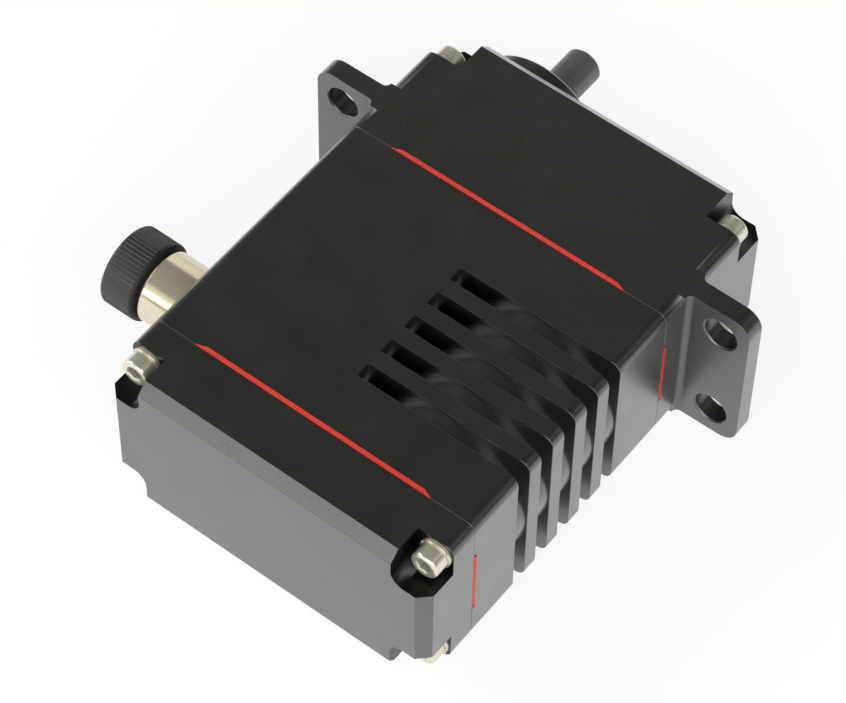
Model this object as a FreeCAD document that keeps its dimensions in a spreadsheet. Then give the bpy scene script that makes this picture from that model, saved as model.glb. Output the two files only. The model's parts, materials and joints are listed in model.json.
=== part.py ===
"""Geared joint actuator: ribbed three-section housing, slotless motor, four-stage spur train.

Frame: +Y runs out of the housing along the output shaft, +Z is the normal of one wide face and
+X points from the output shaft towards the ribbed side.  The origin lies on the shaft's axis
where the shaft leaves its boss.  All lengths are in millimetres.
"""
import FreeCAD, Part
import math
import os

import Sketcher
from FreeCAD import Placement, Rotation, Vector

doc = FreeCAD.newDocument("joint_actuator")
nodes = []

# ---------------------------------------------------------------------------------------------
# Driving dimensions
# ---------------------------------------------------------------------------------------------

SIZES = [
    # housing envelope
    ("gear_side_wall", 1.45, "gear pocket to the plain narrow side"),
    ("motor_side_wall", 1.9, "motor bore to the ribbed narrow side"),
    ("body_thickness", 28.0, "between the two wide faces"),
    ("boss_height", 3.6, "boss above the output end face"),
    ("cover_length", 24.9, "output cover"),
    ("case_length", 44.0, "centre case"),
    ("rear_length", 10.7, "rear cover"),
    ("edge_radius", 1.75, "rounding of the four long edges"),
    ("end_chamfer", 1.75, "chamfer round the end faces"),
    ("back_chamfer", 1.0, "chamfer of the end faces on the back wide face"),
    # corner screws and the notches that hold their heads
    ("notch_side", 6.0, "side of a corner notch"),
    ("front_notch_depth", 7.0, "depth of the output cover's corner notches"),
    ("rear_notch_depth", 6.0, "depth of the rear cover's corner notches"),
    ("notch_radius", 2.2, "inner rounding of a corner notch"),
    ("screw_inset", 2.75, "corner screw axis to both outer faces"),
    ("screw_radius", 1.25, "M2.5 shank"),
    ("screw_hole_gap", 0.1, "clearance round a shank"),
    ("head_radius", 2.25, "M2.5 socket head"),
    ("head_height", 2.5, "M2.5 socket head"),
    ("hex_width", 2.0, "key size of the M2.5 socket"),
    ("hex_depth", 1.4, "depth of the hexagon socket"),
    ("washer_radius", 2.5, "spring washer"),
    ("washer_thickness", 0.6, "spring washer"),
    ("thread_depth", 8.0, "tapped depth in the centre case"),
    ("front_screw_length", 25.0, "M2.5 shank, output cover"),
    ("rear_screw_length", 12.0, "M2.5 shank, rear cover"),
    # mounting lugs
    ("lug_reach", 10.5, "lug beyond the narrow side"),
    ("lug_thickness", 3.2, "along the shaft"),
    ("lug_setback", 20.1, "lug's front face behind the boss face"),
    ("lug_corner", 3.0, "outer corner radius of a lug"),
    ("lug_fillet", 1.0, "inner corner radius of a lug"),
    ("lug_hole_radius", 2.65, "M5 close-fit hole"),
    ("lug_hole_out", 5.75, "lug hole axis to the narrow side"),
    ("lug_hole_edge", 4.9, "lug hole axis to a wide face"),
    ("lug_hole_break", 0.25, "edge break of a lug hole"),
    # seals between the sections
    ("seal_thickness", 0.6, "silicone seal"),
    ("seal_lip", 1.3, "metal lip outside the seal"),
    ("seal_corner", 4.6, "corner left free by the seal for a screw"),
    ("seal_sink", 0.08, "seal edge below the outer face in its windows"),
    ("window_inset", 7.75, "wide-face window end to a narrow side"),
    ("side_window_inset", 7.0, "narrow-side window end to a wide face"),
    ("window_run_out", 1.4, "tapered end of a wide-face window"),
    ("side_run_out", 0.4, "tapered end of a narrow-side window"),
    ("seal_end_gap", 0.5, "seal to the ends of a narrow-side window"),
    # centre case
    ("side_wall", 2.0, "wall of the board chamber"),
    ("front_wall", 4.5, "bulkhead between chamber and gears"),
    ("chamber_web", 1.3, "wall between board chamber and slots"),
    ("chamber_wall", 3.0, "wall between board chamber and motor bore"),
    ("post_side", 6.0, "corner post round a tapped hole"),
    ("slot_width", 2.6, "cooling slot"),
    ("slot_pitch", 5.2, "cooling slots, centre to centre"),
    ("slot_count", 5, "cooling slots"),
    ("slot_lead", 10.9, "front seam to the first slot"),
    ("slot_web", 6.0, "half height of the web at the closed ends"),
    ("slot_skin", 0.25, "wide face above the slot floor"),
    ("motor_wall", 1.65, "wall between motor and slot floor"),
    # rear cover
    ("rear_floor", 3.0, "end wall of the rear cover"),
    ("rear_corner", 7.6, "solid corner of the rear cover"),
    # output cover
    ("boss_radius", 10.3, "boss round the output shaft"),
    ("boss_chamfer", 0.4, "edge of the boss"),
    ("gear_cover", 1.95, "wide face to the gear pockets"),
    ("pocket_gap", 0.25, "pocket wall to gear tips"),
    ("pinion_pocket_radius", 5.0, "pocket over the motor pinion"),
    # output shaft and its bearings
    ("shaft_radius", 3.0, "free end of the output shaft"),
    ("shaft_reach", 11.4, "free end beyond the boss"),
    ("shaft_tip", 0.5, "chamfer at the tip"),
    ("journal_radius", 4.0, "journal in the main bearing"),
    ("collar_radius", 5.2, "collar between gear and main bearing"),
    ("foot_radius", 2.0, "lower journal"),
    ("foot_reach", 3.0, "foot of the shaft behind the bulkhead"),
    ("nose_journal_radius", 3.5, "journal in the nose bearing, flush with the boss"),
    ("main_bearing_radius", 8.0, "outer radius, 8 x 16 x 5 bearing"),
    ("main_bearing_width", 5.0, "main bearing"),
    ("nose_bearing_radius", 7.0, "outer radius, 7 x 14 x 4 bearing"),
    ("nose_bearing_width", 4.0, "nose bearing"),
    ("foot_bearing_radius", 4.5, "outer radius, 4 x 9 x 4 bearing"),
    ("foot_bearing_width", 4.0, "foot bearing"),
    ("bearing_lip", 0.9, "lip that holds the foot bearing"),
    ("race_wall", 0.75, "wall of a bearing ring"),
    ("ball_gap", 0.05, "ball to its rings"),
    ("ball_count", 8, "balls in each bearing"),
    ("lip_seal_width", 2.0, "rotary seal in the boss"),
    ("lip_seal_sink", 0.4, "seal below the boss face"),
    ("lip_seal_gap", 0.2, "seal to the nose bearing"),
    # gear train
    ("axle_radius", 1.5, "idler axle"),
    ("axle_seat", 2.8, "length of the axle in its seats"),
    ("running_gap", 0.05, "radial clearance of a running fit"),
    ("side_gap", 0.25, "axial clearance between gears"),
    ("backlash", 0.08, "play of a gear pair on its pitch circle"),
    ("pinion_shift", 0.4, "profile shift of pinions, taken from the wheels"),
    ("stage1_pinion", 10, "teeth"),
    ("stage1_wheel", 44, "teeth"),
    ("stage2_pinion", 14, "teeth"),
    ("stage2_wheel", 46, "teeth"),
    ("stage3_pinion", 12, "teeth"),
    ("stage3_wheel", 38, "teeth"),
    ("stage4_pinion", 11, "teeth"),
    ("stage4_wheel", 29, "teeth"),
    ("stage1_face", 2.0, "face width"),
    ("stage2_face", 2.4, "face width"),
    ("stage3_face", 2.8, "face width"),
    ("stage4_face", 4.6, "face width"),
    ("spacer_wall", 0.9, "wall of the spacer sleeves"),
    # motor
    ("motor_gap", 0.1, "can to its bore"),
    ("motor_rear_gap", 3.5, "can to the rear seam"),
    ("can_wall", 1.0, "motor can"),
    ("can_face", 1.5, "front face of the can"),
    ("pilot_radius", 4.0, "pilot boss of the motor"),
    ("pilot_height", 1.6, "pilot boss of the motor"),
    ("end_cap_thickness", 2.4, "rear end cap of the motor"),
    ("winding_room", 2.5, "winding to the ends of the can"),
    ("core_thickness", 2.0, "stator core"),
    ("winding_thickness", 1.7, "slotless winding"),
    ("winding_overhang", 1.5, "winding beyond the core"),
    ("air_gap", 0.4, "magnet to winding"),
    ("rotor_shaft_radius", 1.25, "motor shaft"),
    ("motor_bearing_radius", 3.0, "outer radius of a motor bearing"),
    ("motor_bearing_width", 2.0, "motor bearing"),
    ("motor_screw_offset", 8.0, "motor screws from the motor axis"),
    ("motor_screw_radius", 1.0, "M2 shank"),
    ("motor_screw_head", 1.9, "M2 head radius"),
    ("motor_screw_sink", 1.6, "depth of the head recess"),
    # position sensor and controller
    ("clip_thickness", 0.7, "retaining clip of the shaft"),
    ("clip_radius", 3.4, "retaining clip of the shaft"),
    ("magnet_radius", 3.0, "sensor magnet"),
    ("magnet_thickness", 2.0, "sensor magnet"),
    ("sensor_gap", 1.0, "magnet to sensor"),
    ("sensor_post_radius", 2.0, "post under the sensor board"),
    ("sensor_post_offset", 5.4, "posts from the output axis"),
    ("sensor_post_height", 6.8, "offset of the posts towards the front wide face"),
    ("board_thickness", 1.6, "controller board"),
    ("board_rise", 2.0, "board face to the lower post"),
    ("board_rail", 0.7, "depth of a guide groove"),
    ("board_front_gap", 10.0, "board to the bulkhead"),
    ("board_rear_gap", 1.5, "board to the rear seam"),
    ("processor_side", 7.0, "processor"),
    ("processor_height", 1.0, "processor"),
    ("transistor_side", 3.0, "power transistor"),
    ("transistor_pitch", 4.0, "power transistors, centre to centre"),
    ("transistor_height", 0.8, "power transistor"),
    ("capacitor_radius", 2.5, "buffer capacitor"),
    ("capacitor_height", 6.0, "buffer capacitor"),
    ("capacitor_pitch", 6.0, "buffer capacitors, centre to centre"),
    ("part_margin", 1.0, "parts to the edge of the board"),
    ("board_cutout_gap", 0.5, "cut-out of the board round the connector's tail and nut"),
    ("processor_gap", 0.45, "processor to the connector's tail"),
    ("sensor_chip_length", 5.0, "sensor chip"),
    ("sensor_chip_width", 4.0, "sensor chip"),
    ("sensor_chip_height", 1.2, "sensor chip"),
    ("sensor_board_thickness", 1.0, "sensor board"),
    # round connector
    ("plug_setback", 12.3, "connector axis to the rear seam"),
    ("barrel_radius", 5.8, "connector barrel"),
    ("barrel_length", 9.6, "connector barrel"),
    ("nose_radius", 5.0, "threaded nose under the cap"),
    ("socket_radius", 4.0, "socket of the connector"),
    ("socket_depth", 2.6, "free depth of the socket"),
    ("tail_radius", 4.6, "connector behind the wall"),
    ("tail_length", 5.0, "connector behind the wall"),
    ("nut_width", 11.0, "across the flats of the panel nut"),
    ("nut_thickness", 1.5, "panel nut"),
    ("pin_radius", 0.5, "contact pin"),
    ("pin_circle", 2.4, "pitch radius of the contact pins"),
    ("pin_count", 5, "contact pins"),
    ("cap_radius", 6.45, "knurled cap"),
    ("cap_knurl", 5.75, "knurled length of the cap"),
    ("cap_collar", 0.9, "smooth collar of the cap"),
    ("cap_wall", 1.0, "end wall of the cap"),
    ("knurl_count", 60, "ribs round the cap"),
    ("knurl_depth", 0.25, "depth of the knurl"),
    ("cap_seal_thickness", 0.5, "sealing disc in the cap"),
]

sheet = doc.addObject("Spreadsheet::Sheet", "sizes")
for row, (alias, amount, meaning) in enumerate(SIZES, start=1):
    sheet.set(f"A{row}", meaning)
    sheet.set(f"B{row}", str(amount))
    sheet.setAlias(f"B{row}", alias)
doc.recompute()

# Places that several pieces share, as expressions on the sheet
Z_FACE = "(sizes.body_thickness / 2)"


def teeth_of(stage):
    return f"(sizes.stage{stage}_pinion + sizes.stage{stage}_wheel)"


# The largest wheel fills the height between the wide faces, which sets the axes of the train
LARGEST_TIP = f"({Z_FACE} - sizes.gear_cover - sizes.pocket_gap)"
FIRST_MODULE = f"({LARGEST_TIP} / (sizes.stage2_wheel / 2 + 1 - sizes.pinion_shift))"
AXLE_SPACING = f"({FIRST_MODULE} * {teeth_of(2)} / 2)"
MOTOR_SPACING = f"({FIRST_MODULE} * {teeth_of(1)} / 2)"
X_LEFT = f"(-{LARGEST_TIP} - sizes.pocket_gap - sizes.gear_side_wall)"
X_AXLE = AXLE_SPACING
X_MOTOR = f"({AXLE_SPACING} + {MOTOR_SPACING})"
SLOT_FLOOR = f"({Z_FACE} - sizes.slot_skin)"
MOTOR_BORE = f"({SLOT_FLOOR} - sizes.motor_wall)"
MOTOR_RADIUS = f"({MOTOR_BORE} - sizes.motor_gap)"
X_CHAMBER = f"({X_MOTOR} - {MOTOR_BORE} - sizes.chamber_wall)"
X_SLOT = f"({X_CHAMBER} + sizes.chamber_web)"
X_RIGHT = f"({X_MOTOR} + {MOTOR_BORE} + sizes.motor_side_wall)"
X_MIDDLE = f"(({X_LEFT} + {X_RIGHT}) / 2)"
Y_END = "(-sizes.boss_height)"
Y_FRONT_SEAM = f"({Y_END} - sizes.cover_length)"
Y_REAR_SEAM = f"({Y_FRONT_SEAM} - sizes.case_length)"
Y_REAR = f"({Y_REAR_SEAM} - sizes.rear_length)"
Y_BULKHEAD = f"({Y_FRONT_SEAM} - sizes.front_wall)"
Y_NOSE_END = "(-sizes.lip_seal_sink - sizes.lip_seal_width - sizes.lip_seal_gap)"
Y_SHAFT_STEP = f"({Y_NOSE_END} - sizes.nose_bearing_width)"
Y_ROOF = f"({Y_SHAFT_STEP} - sizes.main_bearing_width)"
Y_FRONT_SEAT = f"({Y_END} - sizes.front_notch_depth)"
Y_REAR_SEAT = f"({Y_REAR} + sizes.rear_notch_depth)"
Y_MOTOR_REAR = f"({Y_REAR_SEAM} + sizes.motor_rear_gap)"
Y_FOOT = f"({Y_BULKHEAD} - sizes.foot_reach)"
Y_BOARD_FRONT = f"({Y_BULKHEAD} - sizes.board_front_gap)"
Y_BOARD_REAR = f"({Y_REAR_SEAM} + sizes.board_rear_gap)"
Y_PLUG = f"({Y_REAR_SEAM} + sizes.plug_setback)"
Z_BOARD = f"(sizes.post_side + sizes.board_rise - {Z_FACE})"


def value(text):
    """The number that an expression on the sheet gives."""
    return float(sheet.evalExpression(str(text)))


# ---------------------------------------------------------------------------------------------
# Sketches whose points are bound to the sheet
# ---------------------------------------------------------------------------------------------

def new_body(name, keep=True):
    body = doc.addObject("PartDesign::Body", name)
    body.Label = name
    if keep:
        nodes.append(body)
    return body


def new_sketch(body, name, plane, offset="0"):
    """An empty sketch on one of the body's origin planes, moved along that plane's normal."""
    sketch = body.newObject("Sketcher::SketchObject", f"{body.Name}_{name}")
    base = [feature for feature in body.Origin.OriginFeatures if feature.Role == plane][0]
    sketch.AttachmentSupport = [(base, "")]
    sketch.MapMode = "FlatFace"
    sketch.setExpression("AttachmentOffset.Base.z", offset)
    return sketch


def section(body, name, y):
    """An empty sketch across the shaft direction at height y; its axes are X and Z."""
    return new_sketch(body, name, "XZ_Plane", f"-({y})")


def place_point(sketch, line, end, x, y):
    """Holds one end of a line or arc at the coordinates that two expressions give."""
    for kind, text in (("DistanceX", x), ("DistanceY", y)):
        index = sketch.addConstraint(Sketcher.Constraint(kind, -1, 1, line, end, value(text)))
        sketch.setExpression(f"Constraints[{index}]", str(text))


def hold_radius(sketch, curve, radius):
    index = sketch.addConstraint(Sketcher.Constraint("Radius", curve, value(radius)))
    sketch.setExpression(f"Constraints[{index}]", str(radius))


def circle(sketch, x, y, radius):
    shape = Part.Circle(Vector(value(x), value(y), 0), Vector(0, 0, 1), value(radius))
    index = sketch.addGeometry(shape, False)
    place_point(sketch, index, 3, x, y)
    hold_radius(sketch, index, radius)


def polygon(sketch, points):
    """A closed outline of straight lines through points given as pairs of expressions."""
    first = sketch.GeometryCount
    corners = [Vector(value(x), value(y), 0) for x, y in points]
    count = len(corners)
    for index in range(count):
        line = Part.LineSegment(corners[index], corners[(index + 1) % count])
        sketch.addGeometry(line, False)
    for index in range(count):
        following = first + (index + 1) % count
        sketch.addConstraint(Sketcher.Constraint("Coincident", first + index, 2, following, 1))
        place_point(sketch, first + index, 1, *points[index])


def rounded_rectangle(sketch, x0, x1, y0, y1, radius):
    """A rectangle between the given sides, with its four corners rounded."""
    first = sketch.GeometryCount
    left, right, low, high, r = [value(text) for text in (x0, x1, y0, y1, radius)]
    centres = [(right - r, low + r), (right - r, high - r), (left + r, high - r), (left + r, low + r)]
    starts = [(left + r, low), (right, low + r), (right - r, high), (left, high - r)]
    ends = [(right - r, low), (right, high - r), (left + r, high), (left, low + r)]
    for index in range(4):
        line = Part.LineSegment(Vector(*starts[index], 0), Vector(*ends[index], 0))
        sketch.addGeometry(line, False)
        round_corner = Part.Circle(Vector(*centres[index], 0), Vector(0, 0, 1), r)
        turn = math.radians(90 * index)
        arc = Part.ArcOfCircle(round_corner, turn - math.pi / 2, turn)
        sketch.addGeometry(arc, False)
    for index in range(4):
        line = first + 2 * index
        following = first + (2 * index + 2) % 8
        sketch.addConstraint(Sketcher.Constraint("Tangent", line, 2, line + 1, 1))
        sketch.addConstraint(Sketcher.Constraint("Tangent", line + 1, 2, following, 1))
        direction = "Horizontal" if index % 2 == 0 else "Vertical"
        sketch.addConstraint(Sketcher.Constraint(direction, line))
        if index:
            sketch.addConstraint(Sketcher.Constraint("Equal", first + 1, line + 1))
    for kind, line, text in (("DistanceY", 0, y0), ("DistanceX", 2, x1),
                             ("DistanceY", 4, y1), ("DistanceX", 6, x0)):
        side = Sketcher.Constraint(kind, -1, 1, first + line, 1, value(text))
        index = sketch.addConstraint(side)
        sketch.setExpression(f"Constraints[{index}]", str(text))
    hold_radius(sketch, first + 1, radius)


def rectangle(sketch, x0, x1, y0, y1):
    polygon(sketch, [(x0, y0), (x1, y0), (x1, y1), (x0, y1)])


# ---------------------------------------------------------------------------------------------
# Features on those sketches
# ---------------------------------------------------------------------------------------------

def add_feature(body, kind, name, sketch):
    feature = body.newObject(f"PartDesign::{kind}", f"{body.Name}_{name}")
    feature.Profile = sketch
    body.Tip = feature
    return feature


def grow(body, name, sketch, y0, y1):
    """Material from a section at y0 forward to y1."""
    feature = add_feature(body, "Pad", name, sketch)
    feature.Reversed = True
    feature.setExpression("Length", f"({y1}) - ({y0})")
    return feature


def sink(body, name, sketch, y0, y1):
    """A recess from a section at y0 forward to y1."""
    feature = add_feature(body, "Pocket", name, sketch)
    feature.setExpression("Length", f"({y1}) - ({y0})")
    return feature


def disc(body, name, x, z, radius, y0, y1):
    sketch = section(body, f"{name}_outline", y0)
    circle(sketch, x, z, radius)
    return grow(body, name, sketch, y0, y1)


def bore(body, name, centres, radius, y0, y1):
    """Round holes along the shaft direction, one at each centre."""
    sketch = section(body, f"{name}_outline", y0)
    for x, z in centres:
        circle(sketch, x, z, radius)
    return sink(body, name, sketch, y0, y1)


def turned(name, profile, x="0", y="0", z="0", axis=Vector(0, 1, 0), keep=True):
    """A piece turned on a lathe: (radius, height) pairs round an axis through x, y, z."""
    body = new_body(name, keep)
    sketch = new_sketch(body, "profile", "XY_Plane")
    polygon(sketch, profile)
    feature = add_feature(body, "Revolution", "turn", sketch)
    feature.ReferenceAxis = (sketch, ["V_Axis"])
    feature.Angle = 360
    body.Placement = Placement(Vector(), Rotation(Vector(0, 1, 0), axis))
    body.setExpression("Placement.Base.x", x)
    body.setExpression("Placement.Base.y", y)
    body.setExpression("Placement.Base.z", z)
    return body


def ring(name, inner, outer, y0, y1, **place):
    """A plain ring or sleeve between two radii and two heights."""
    return turned(name, [(inner, y0), (outer, y0), (outer, y1), (inner, y1)], **place)


def edges_where(feature, test):
    """Names of a feature's edges whose middle point passes a test."""
    found = []
    for index, edge in enumerate(feature.Shape.Edges, start=1):
        middle = edge.valueAt((edge.FirstParameter + edge.LastParameter) / 2)
        if test(middle):
            found.append(f"Edge{index}")
    return found


def chamfer(body, name, base, edges, size):
    feature = body.newObject("PartDesign::Chamfer", f"{body.Name}_{name}")
    feature.Base = (base, edges)
    feature.setExpression("Size", size)
    body.Tip = feature
    return feature


# ---------------------------------------------------------------------------------------------
# Details that the three housing sections share
# ---------------------------------------------------------------------------------------------

def housing_block(body, y0, y1):
    sketch = section(body, "outline", y0)
    rounded_rectangle(sketch, X_LEFT, X_RIGHT, f"-{Z_FACE}", Z_FACE, "sizes.edge_radius")
    return grow(body, "block", sketch, y0, y1)


def edge_cut(sketch, y_end, back, side, out, size, swap):
    """A 45 degree cut between an end face and one outer side, run past both faces."""
    level = f"({y_end} + {back} * {size})"
    inset = f"({side} - {out} * {size})"
    past_end = f"({y_end} - {back} * 1)"
    past_side = f"({side} + {out} * 1)"
    points = [(side, level), (past_side, level), (past_side, past_end),
              (inset, past_end), (inset, y_end)]
    if swap:
        points = [(y, x) for x, y in points]
    polygon(sketch, points)


def chamfer_end(body, y_end, back):
    """Chamfers along the four sides of an end face; back points from it into the housing."""
    upright = new_sketch(body, "wide_edge_cuts", "YZ_Plane", X_MIDDLE)
    edge_cut(upright, y_end, back, Z_FACE, 1, "sizes.end_chamfer", True)
    edge_cut(upright, y_end, back, f"(-{Z_FACE})", -1, "sizes.back_chamfer", True)
    feature = add_feature(body, "Pocket", "wide_edges", upright)
    feature.Midplane = True
    feature.setExpression("Length", f"2 * ({X_RIGHT} - {X_LEFT})")
    flat = new_sketch(body, "side_edge_cuts", "XY_Plane")
    edge_cut(flat, y_end, back, X_LEFT, -1, "sizes.end_chamfer", False)
    edge_cut(flat, y_end, back, X_RIGHT, 1, "sizes.end_chamfer", False)
    feature = add_feature(body, "Pocket", "side_edges", flat)
    feature.Midplane = True
    feature.setExpression("Length", "2 * sizes.body_thickness")


def corner_notches(body, y0, y1):
    """Square notches with a round inner corner, one at each corner of the section."""
    sketch = section(body, "notch_outline", y0)
    over = "sizes.notch_side"
    for x0, x1 in ((f"{X_LEFT} - {over}", f"{X_LEFT} + sizes.notch_side"),
                   (f"{X_RIGHT} - sizes.notch_side", f"{X_RIGHT} + {over}")):
        for z0, z1 in ((f"{Z_FACE} - sizes.notch_side", f"{Z_FACE} + {over}"),
                       (f"-{Z_FACE} - {over}", f"sizes.notch_side - {Z_FACE}")):
            rounded_rectangle(sketch, x0, x1, z0, z1, "sizes.notch_radius")
    return sink(body, "notches", sketch, y0, y1)


SCREW_CENTRES = [
    (f"{X_LEFT} + sizes.screw_inset", f"{Z_FACE} - sizes.screw_inset"),
    (f"{X_LEFT} + sizes.screw_inset", f"sizes.screw_inset - {Z_FACE}"),
    (f"{X_RIGHT} - sizes.screw_inset", f"{Z_FACE} - sizes.screw_inset"),
    (f"{X_RIGHT} - sizes.screw_inset", f"sizes.screw_inset - {Z_FACE}"),
]


def window_outline(sketch, low, high, y0, run_out, swap):
    """A seal window: straight at the seam, its far side run out to a point at both ends."""
    y1 = f"({y0} + sizes.seal_thickness)"
    points = [(low, y0), (high, y0), (f"{high} - {run_out}", y1), (f"{low} + {run_out}", y1)]
    if swap:
        points = [(y, x) for x, y in points]
    polygon(sketch, points)


def seal_shapes(body, y0, kind, sink_in):
    """The seal's own outline, added as material or taken out of a housing section."""
    add = kind == "Pad"
    y1 = f"({y0} + sizes.seal_thickness)"
    lip = "sizes.seal_lip"
    corner = "sizes.seal_corner"
    steps = [(lip, corner), (corner, lip)]
    for index, (side, face) in enumerate(steps, start=1):
        sketch = section(body, f"seal_area_{index}", y0)
        rectangle(sketch, f"{X_LEFT} + {side}", f"{X_RIGHT} - {side}",
                  f"{face} - {Z_FACE}", f"{Z_FACE} - {face}")
        (grow if add else sink)(body, f"seal_step_{index}", sketch, y0, y1)
    across = new_sketch(body, "wide_window", "XY_Plane")
    window_outline(across, f"({X_LEFT} + sizes.window_inset)", f"({X_RIGHT} - sizes.window_inset)",
                   y0, "sizes.window_run_out", False)
    feature = add_feature(body, kind, "wide_windows", across)
    feature.Midplane = True
    feature.setExpression("Length", f"2 * ({Z_FACE} - {sink_in})")
    upright = new_sketch(body, "side_window", "YZ_Plane", X_MIDDLE)
    end_gap = "sizes.seal_end_gap" if add else "0"
    reach = f"({Z_FACE} - sizes.side_window_inset - {end_gap})"
    window_outline(upright, f"(-{reach})", reach, y0, "sizes.side_run_out", True)
    feature = add_feature(body, kind, "side_windows", upright)
    feature.Midplane = True
    feature.setExpression("Length", f"{X_RIGHT} - {X_LEFT} - 2 * ({sink_in})")


def rear_opening(body, name, y0, y1, add=False):
    """The rear cover's hollow: a cross that leaves the four screw corners solid."""
    wall = "sizes.side_wall"
    corner = "sizes.rear_corner"
    for index, (side, face) in enumerate([(wall, corner), (corner, wall)], start=1):
        sketch = section(body, f"{name}_{index}_outline", y0)
        rectangle(sketch, f"{X_LEFT} + {side}", f"{X_RIGHT} - {side}",
                  f"{face} - {Z_FACE}", f"{Z_FACE} - {face}")
        sink(body, f"{name}_{index}", sketch, y0, y1)


def module_of(stage):
    """Module of a gear pair: its centre distance shared out over its teeth."""
    spacing = MOTOR_SPACING if stage == 1 else AXLE_SPACING
    return f"(2 * {spacing} / {teeth_of(stage)})"


def wheel_tip(stage):
    return f"({module_of(stage)} * (sizes.stage{stage}_wheel / 2 + 1 - sizes.pinion_shift))"


POCKETS = [
    ("output", "0", f"max({wheel_tip(2)}; {wheel_tip(4)}) + sizes.pocket_gap"),
    ("idler", X_AXLE, f"max({wheel_tip(1)}; {wheel_tip(3)}) + sizes.pocket_gap"),
    ("motor", X_MOTOR, "sizes.pinion_pocket_radius"),
]
PINION_ROOM = "(2 * sizes.side_gap + sizes.stage1_face + 1.5)"


def gear_pockets(body, y0, y_roof):
    """Overlapping round pockets over the three shafts of the train."""
    for name, x, radius in POCKETS:
        top = f"{Y_FRONT_SEAM} + {PINION_ROOM}" if name == "motor" else Y_ROOF
        bore(body, f"{name}_pocket", [(x, "0")], radius, y0, y_roof or top)


# ---------------------------------------------------------------------------------------------
# Housing
# ---------------------------------------------------------------------------------------------

def make_rear_cover():
    body = new_body("rear_cover")
    housing_block(body, Y_REAR, Y_REAR_SEAM)
    chamfer_end(body, Y_REAR, 1)
    corner_notches(body, Y_REAR, Y_REAR_SEAT)
    rear_opening(body, "hollow", f"{Y_REAR} + sizes.rear_floor", Y_REAR_SEAM)
    bore(body, "screw_holes", SCREW_CENTRES, "sizes.screw_radius + sizes.screw_hole_gap",
         Y_REAR_SEAT, Y_REAR_SEAM)


def make_centre_case():
    body = new_body("centre_case")
    housing_block(body, Y_REAR_SEAM, Y_FRONT_SEAM)
    chamber_front = Y_BULKHEAD
    wall = "sizes.side_wall"
    post = "sizes.post_side"
    for index, (side, face) in enumerate([(wall, post), (post, wall)], start=1):
        sketch = section(body, f"chamber_{index}_outline", Y_REAR_SEAM)
        rectangle(sketch, f"{X_LEFT} + {side}", X_CHAMBER, f"{face} - {Z_FACE}", f"{Z_FACE} - {face}")
        sink(body, f"chamber_{index}", sketch, Y_REAR_SEAM, chamber_front)
    bore(body, "motor_bore", [(X_MOTOR, "0")], MOTOR_BORE, Y_REAR_SEAM, Y_BULKHEAD)
    bore(body, "pilot_bore", [(X_MOTOR, "0")], "sizes.pilot_radius", Y_BULKHEAD, Y_FRONT_SEAM)
    motor_screws = [(X_MOTOR, "sizes.motor_screw_offset"), (X_MOTOR, "-sizes.motor_screw_offset")]
    bore(body, "motor_screw_holes", motor_screws, "sizes.motor_screw_radius + sizes.screw_hole_gap",
         Y_BULKHEAD, Y_FRONT_SEAM)
    bore(body, "motor_screw_seats", motor_screws, "sizes.motor_screw_head + sizes.screw_hole_gap",
         f"{Y_FRONT_SEAM} - sizes.motor_screw_sink", Y_FRONT_SEAM)
    bore(body, "foot_bearing_seat", [("0", "0")], "sizes.foot_bearing_radius",
         f"{Y_FRONT_SEAM} - sizes.foot_bearing_width", Y_FRONT_SEAM)
    bore(body, "foot_bearing_eye", [("0", "0")], "sizes.foot_bearing_radius - sizes.bearing_lip",
         Y_BULKHEAD, Y_FRONT_SEAM)
    bore(body, "axle_seat", [(X_AXLE, "0")], "sizes.axle_radius",
         f"{Y_FRONT_SEAM} - sizes.axle_seat", Y_FRONT_SEAM)
    bore(body, "rear_threads", SCREW_CENTRES, "sizes.screw_radius",
         Y_REAR_SEAM, f"{Y_REAR_SEAM} + sizes.thread_depth")
    bore(body, "front_threads", SCREW_CENTRES, "sizes.screw_radius",
         f"{Y_FRONT_SEAM} - sizes.thread_depth", Y_FRONT_SEAM)
    grooves = section(body, "board_groove_outline", Y_REAR_SEAM)
    rectangle(grooves, f"{X_LEFT} + {wall} - sizes.board_rail", f"{X_CHAMBER} + sizes.board_rail",
              f"{Z_BOARD} - sizes.board_thickness - sizes.running_gap",
              f"{Z_BOARD} + sizes.running_gap")
    sink(body, "board_grooves", grooves, Y_REAR_SEAM, Y_BOARD_FRONT)
    for side in (-1, 1):
        disc(body, f"sensor_post_{side + 1}", f"{side} * sizes.sensor_post_offset",
             "sizes.sensor_post_height", "sizes.sensor_post_radius", Y_SENSOR_BOARD, Y_BULKHEAD)
    hole = new_sketch(body, "connector_hole_outline", "YZ_Plane", X_LEFT)
    circle(hole, Y_PLUG, "0", "sizes.nose_radius")
    feature = add_feature(body, "Pocket", "connector_hole", hole)
    feature.Reversed = True
    feature.setExpression("Length", wall)
    cut_cooling_slots(body)
    seal_shapes(body, Y_REAR_SEAM, "Pocket", "-1")


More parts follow.
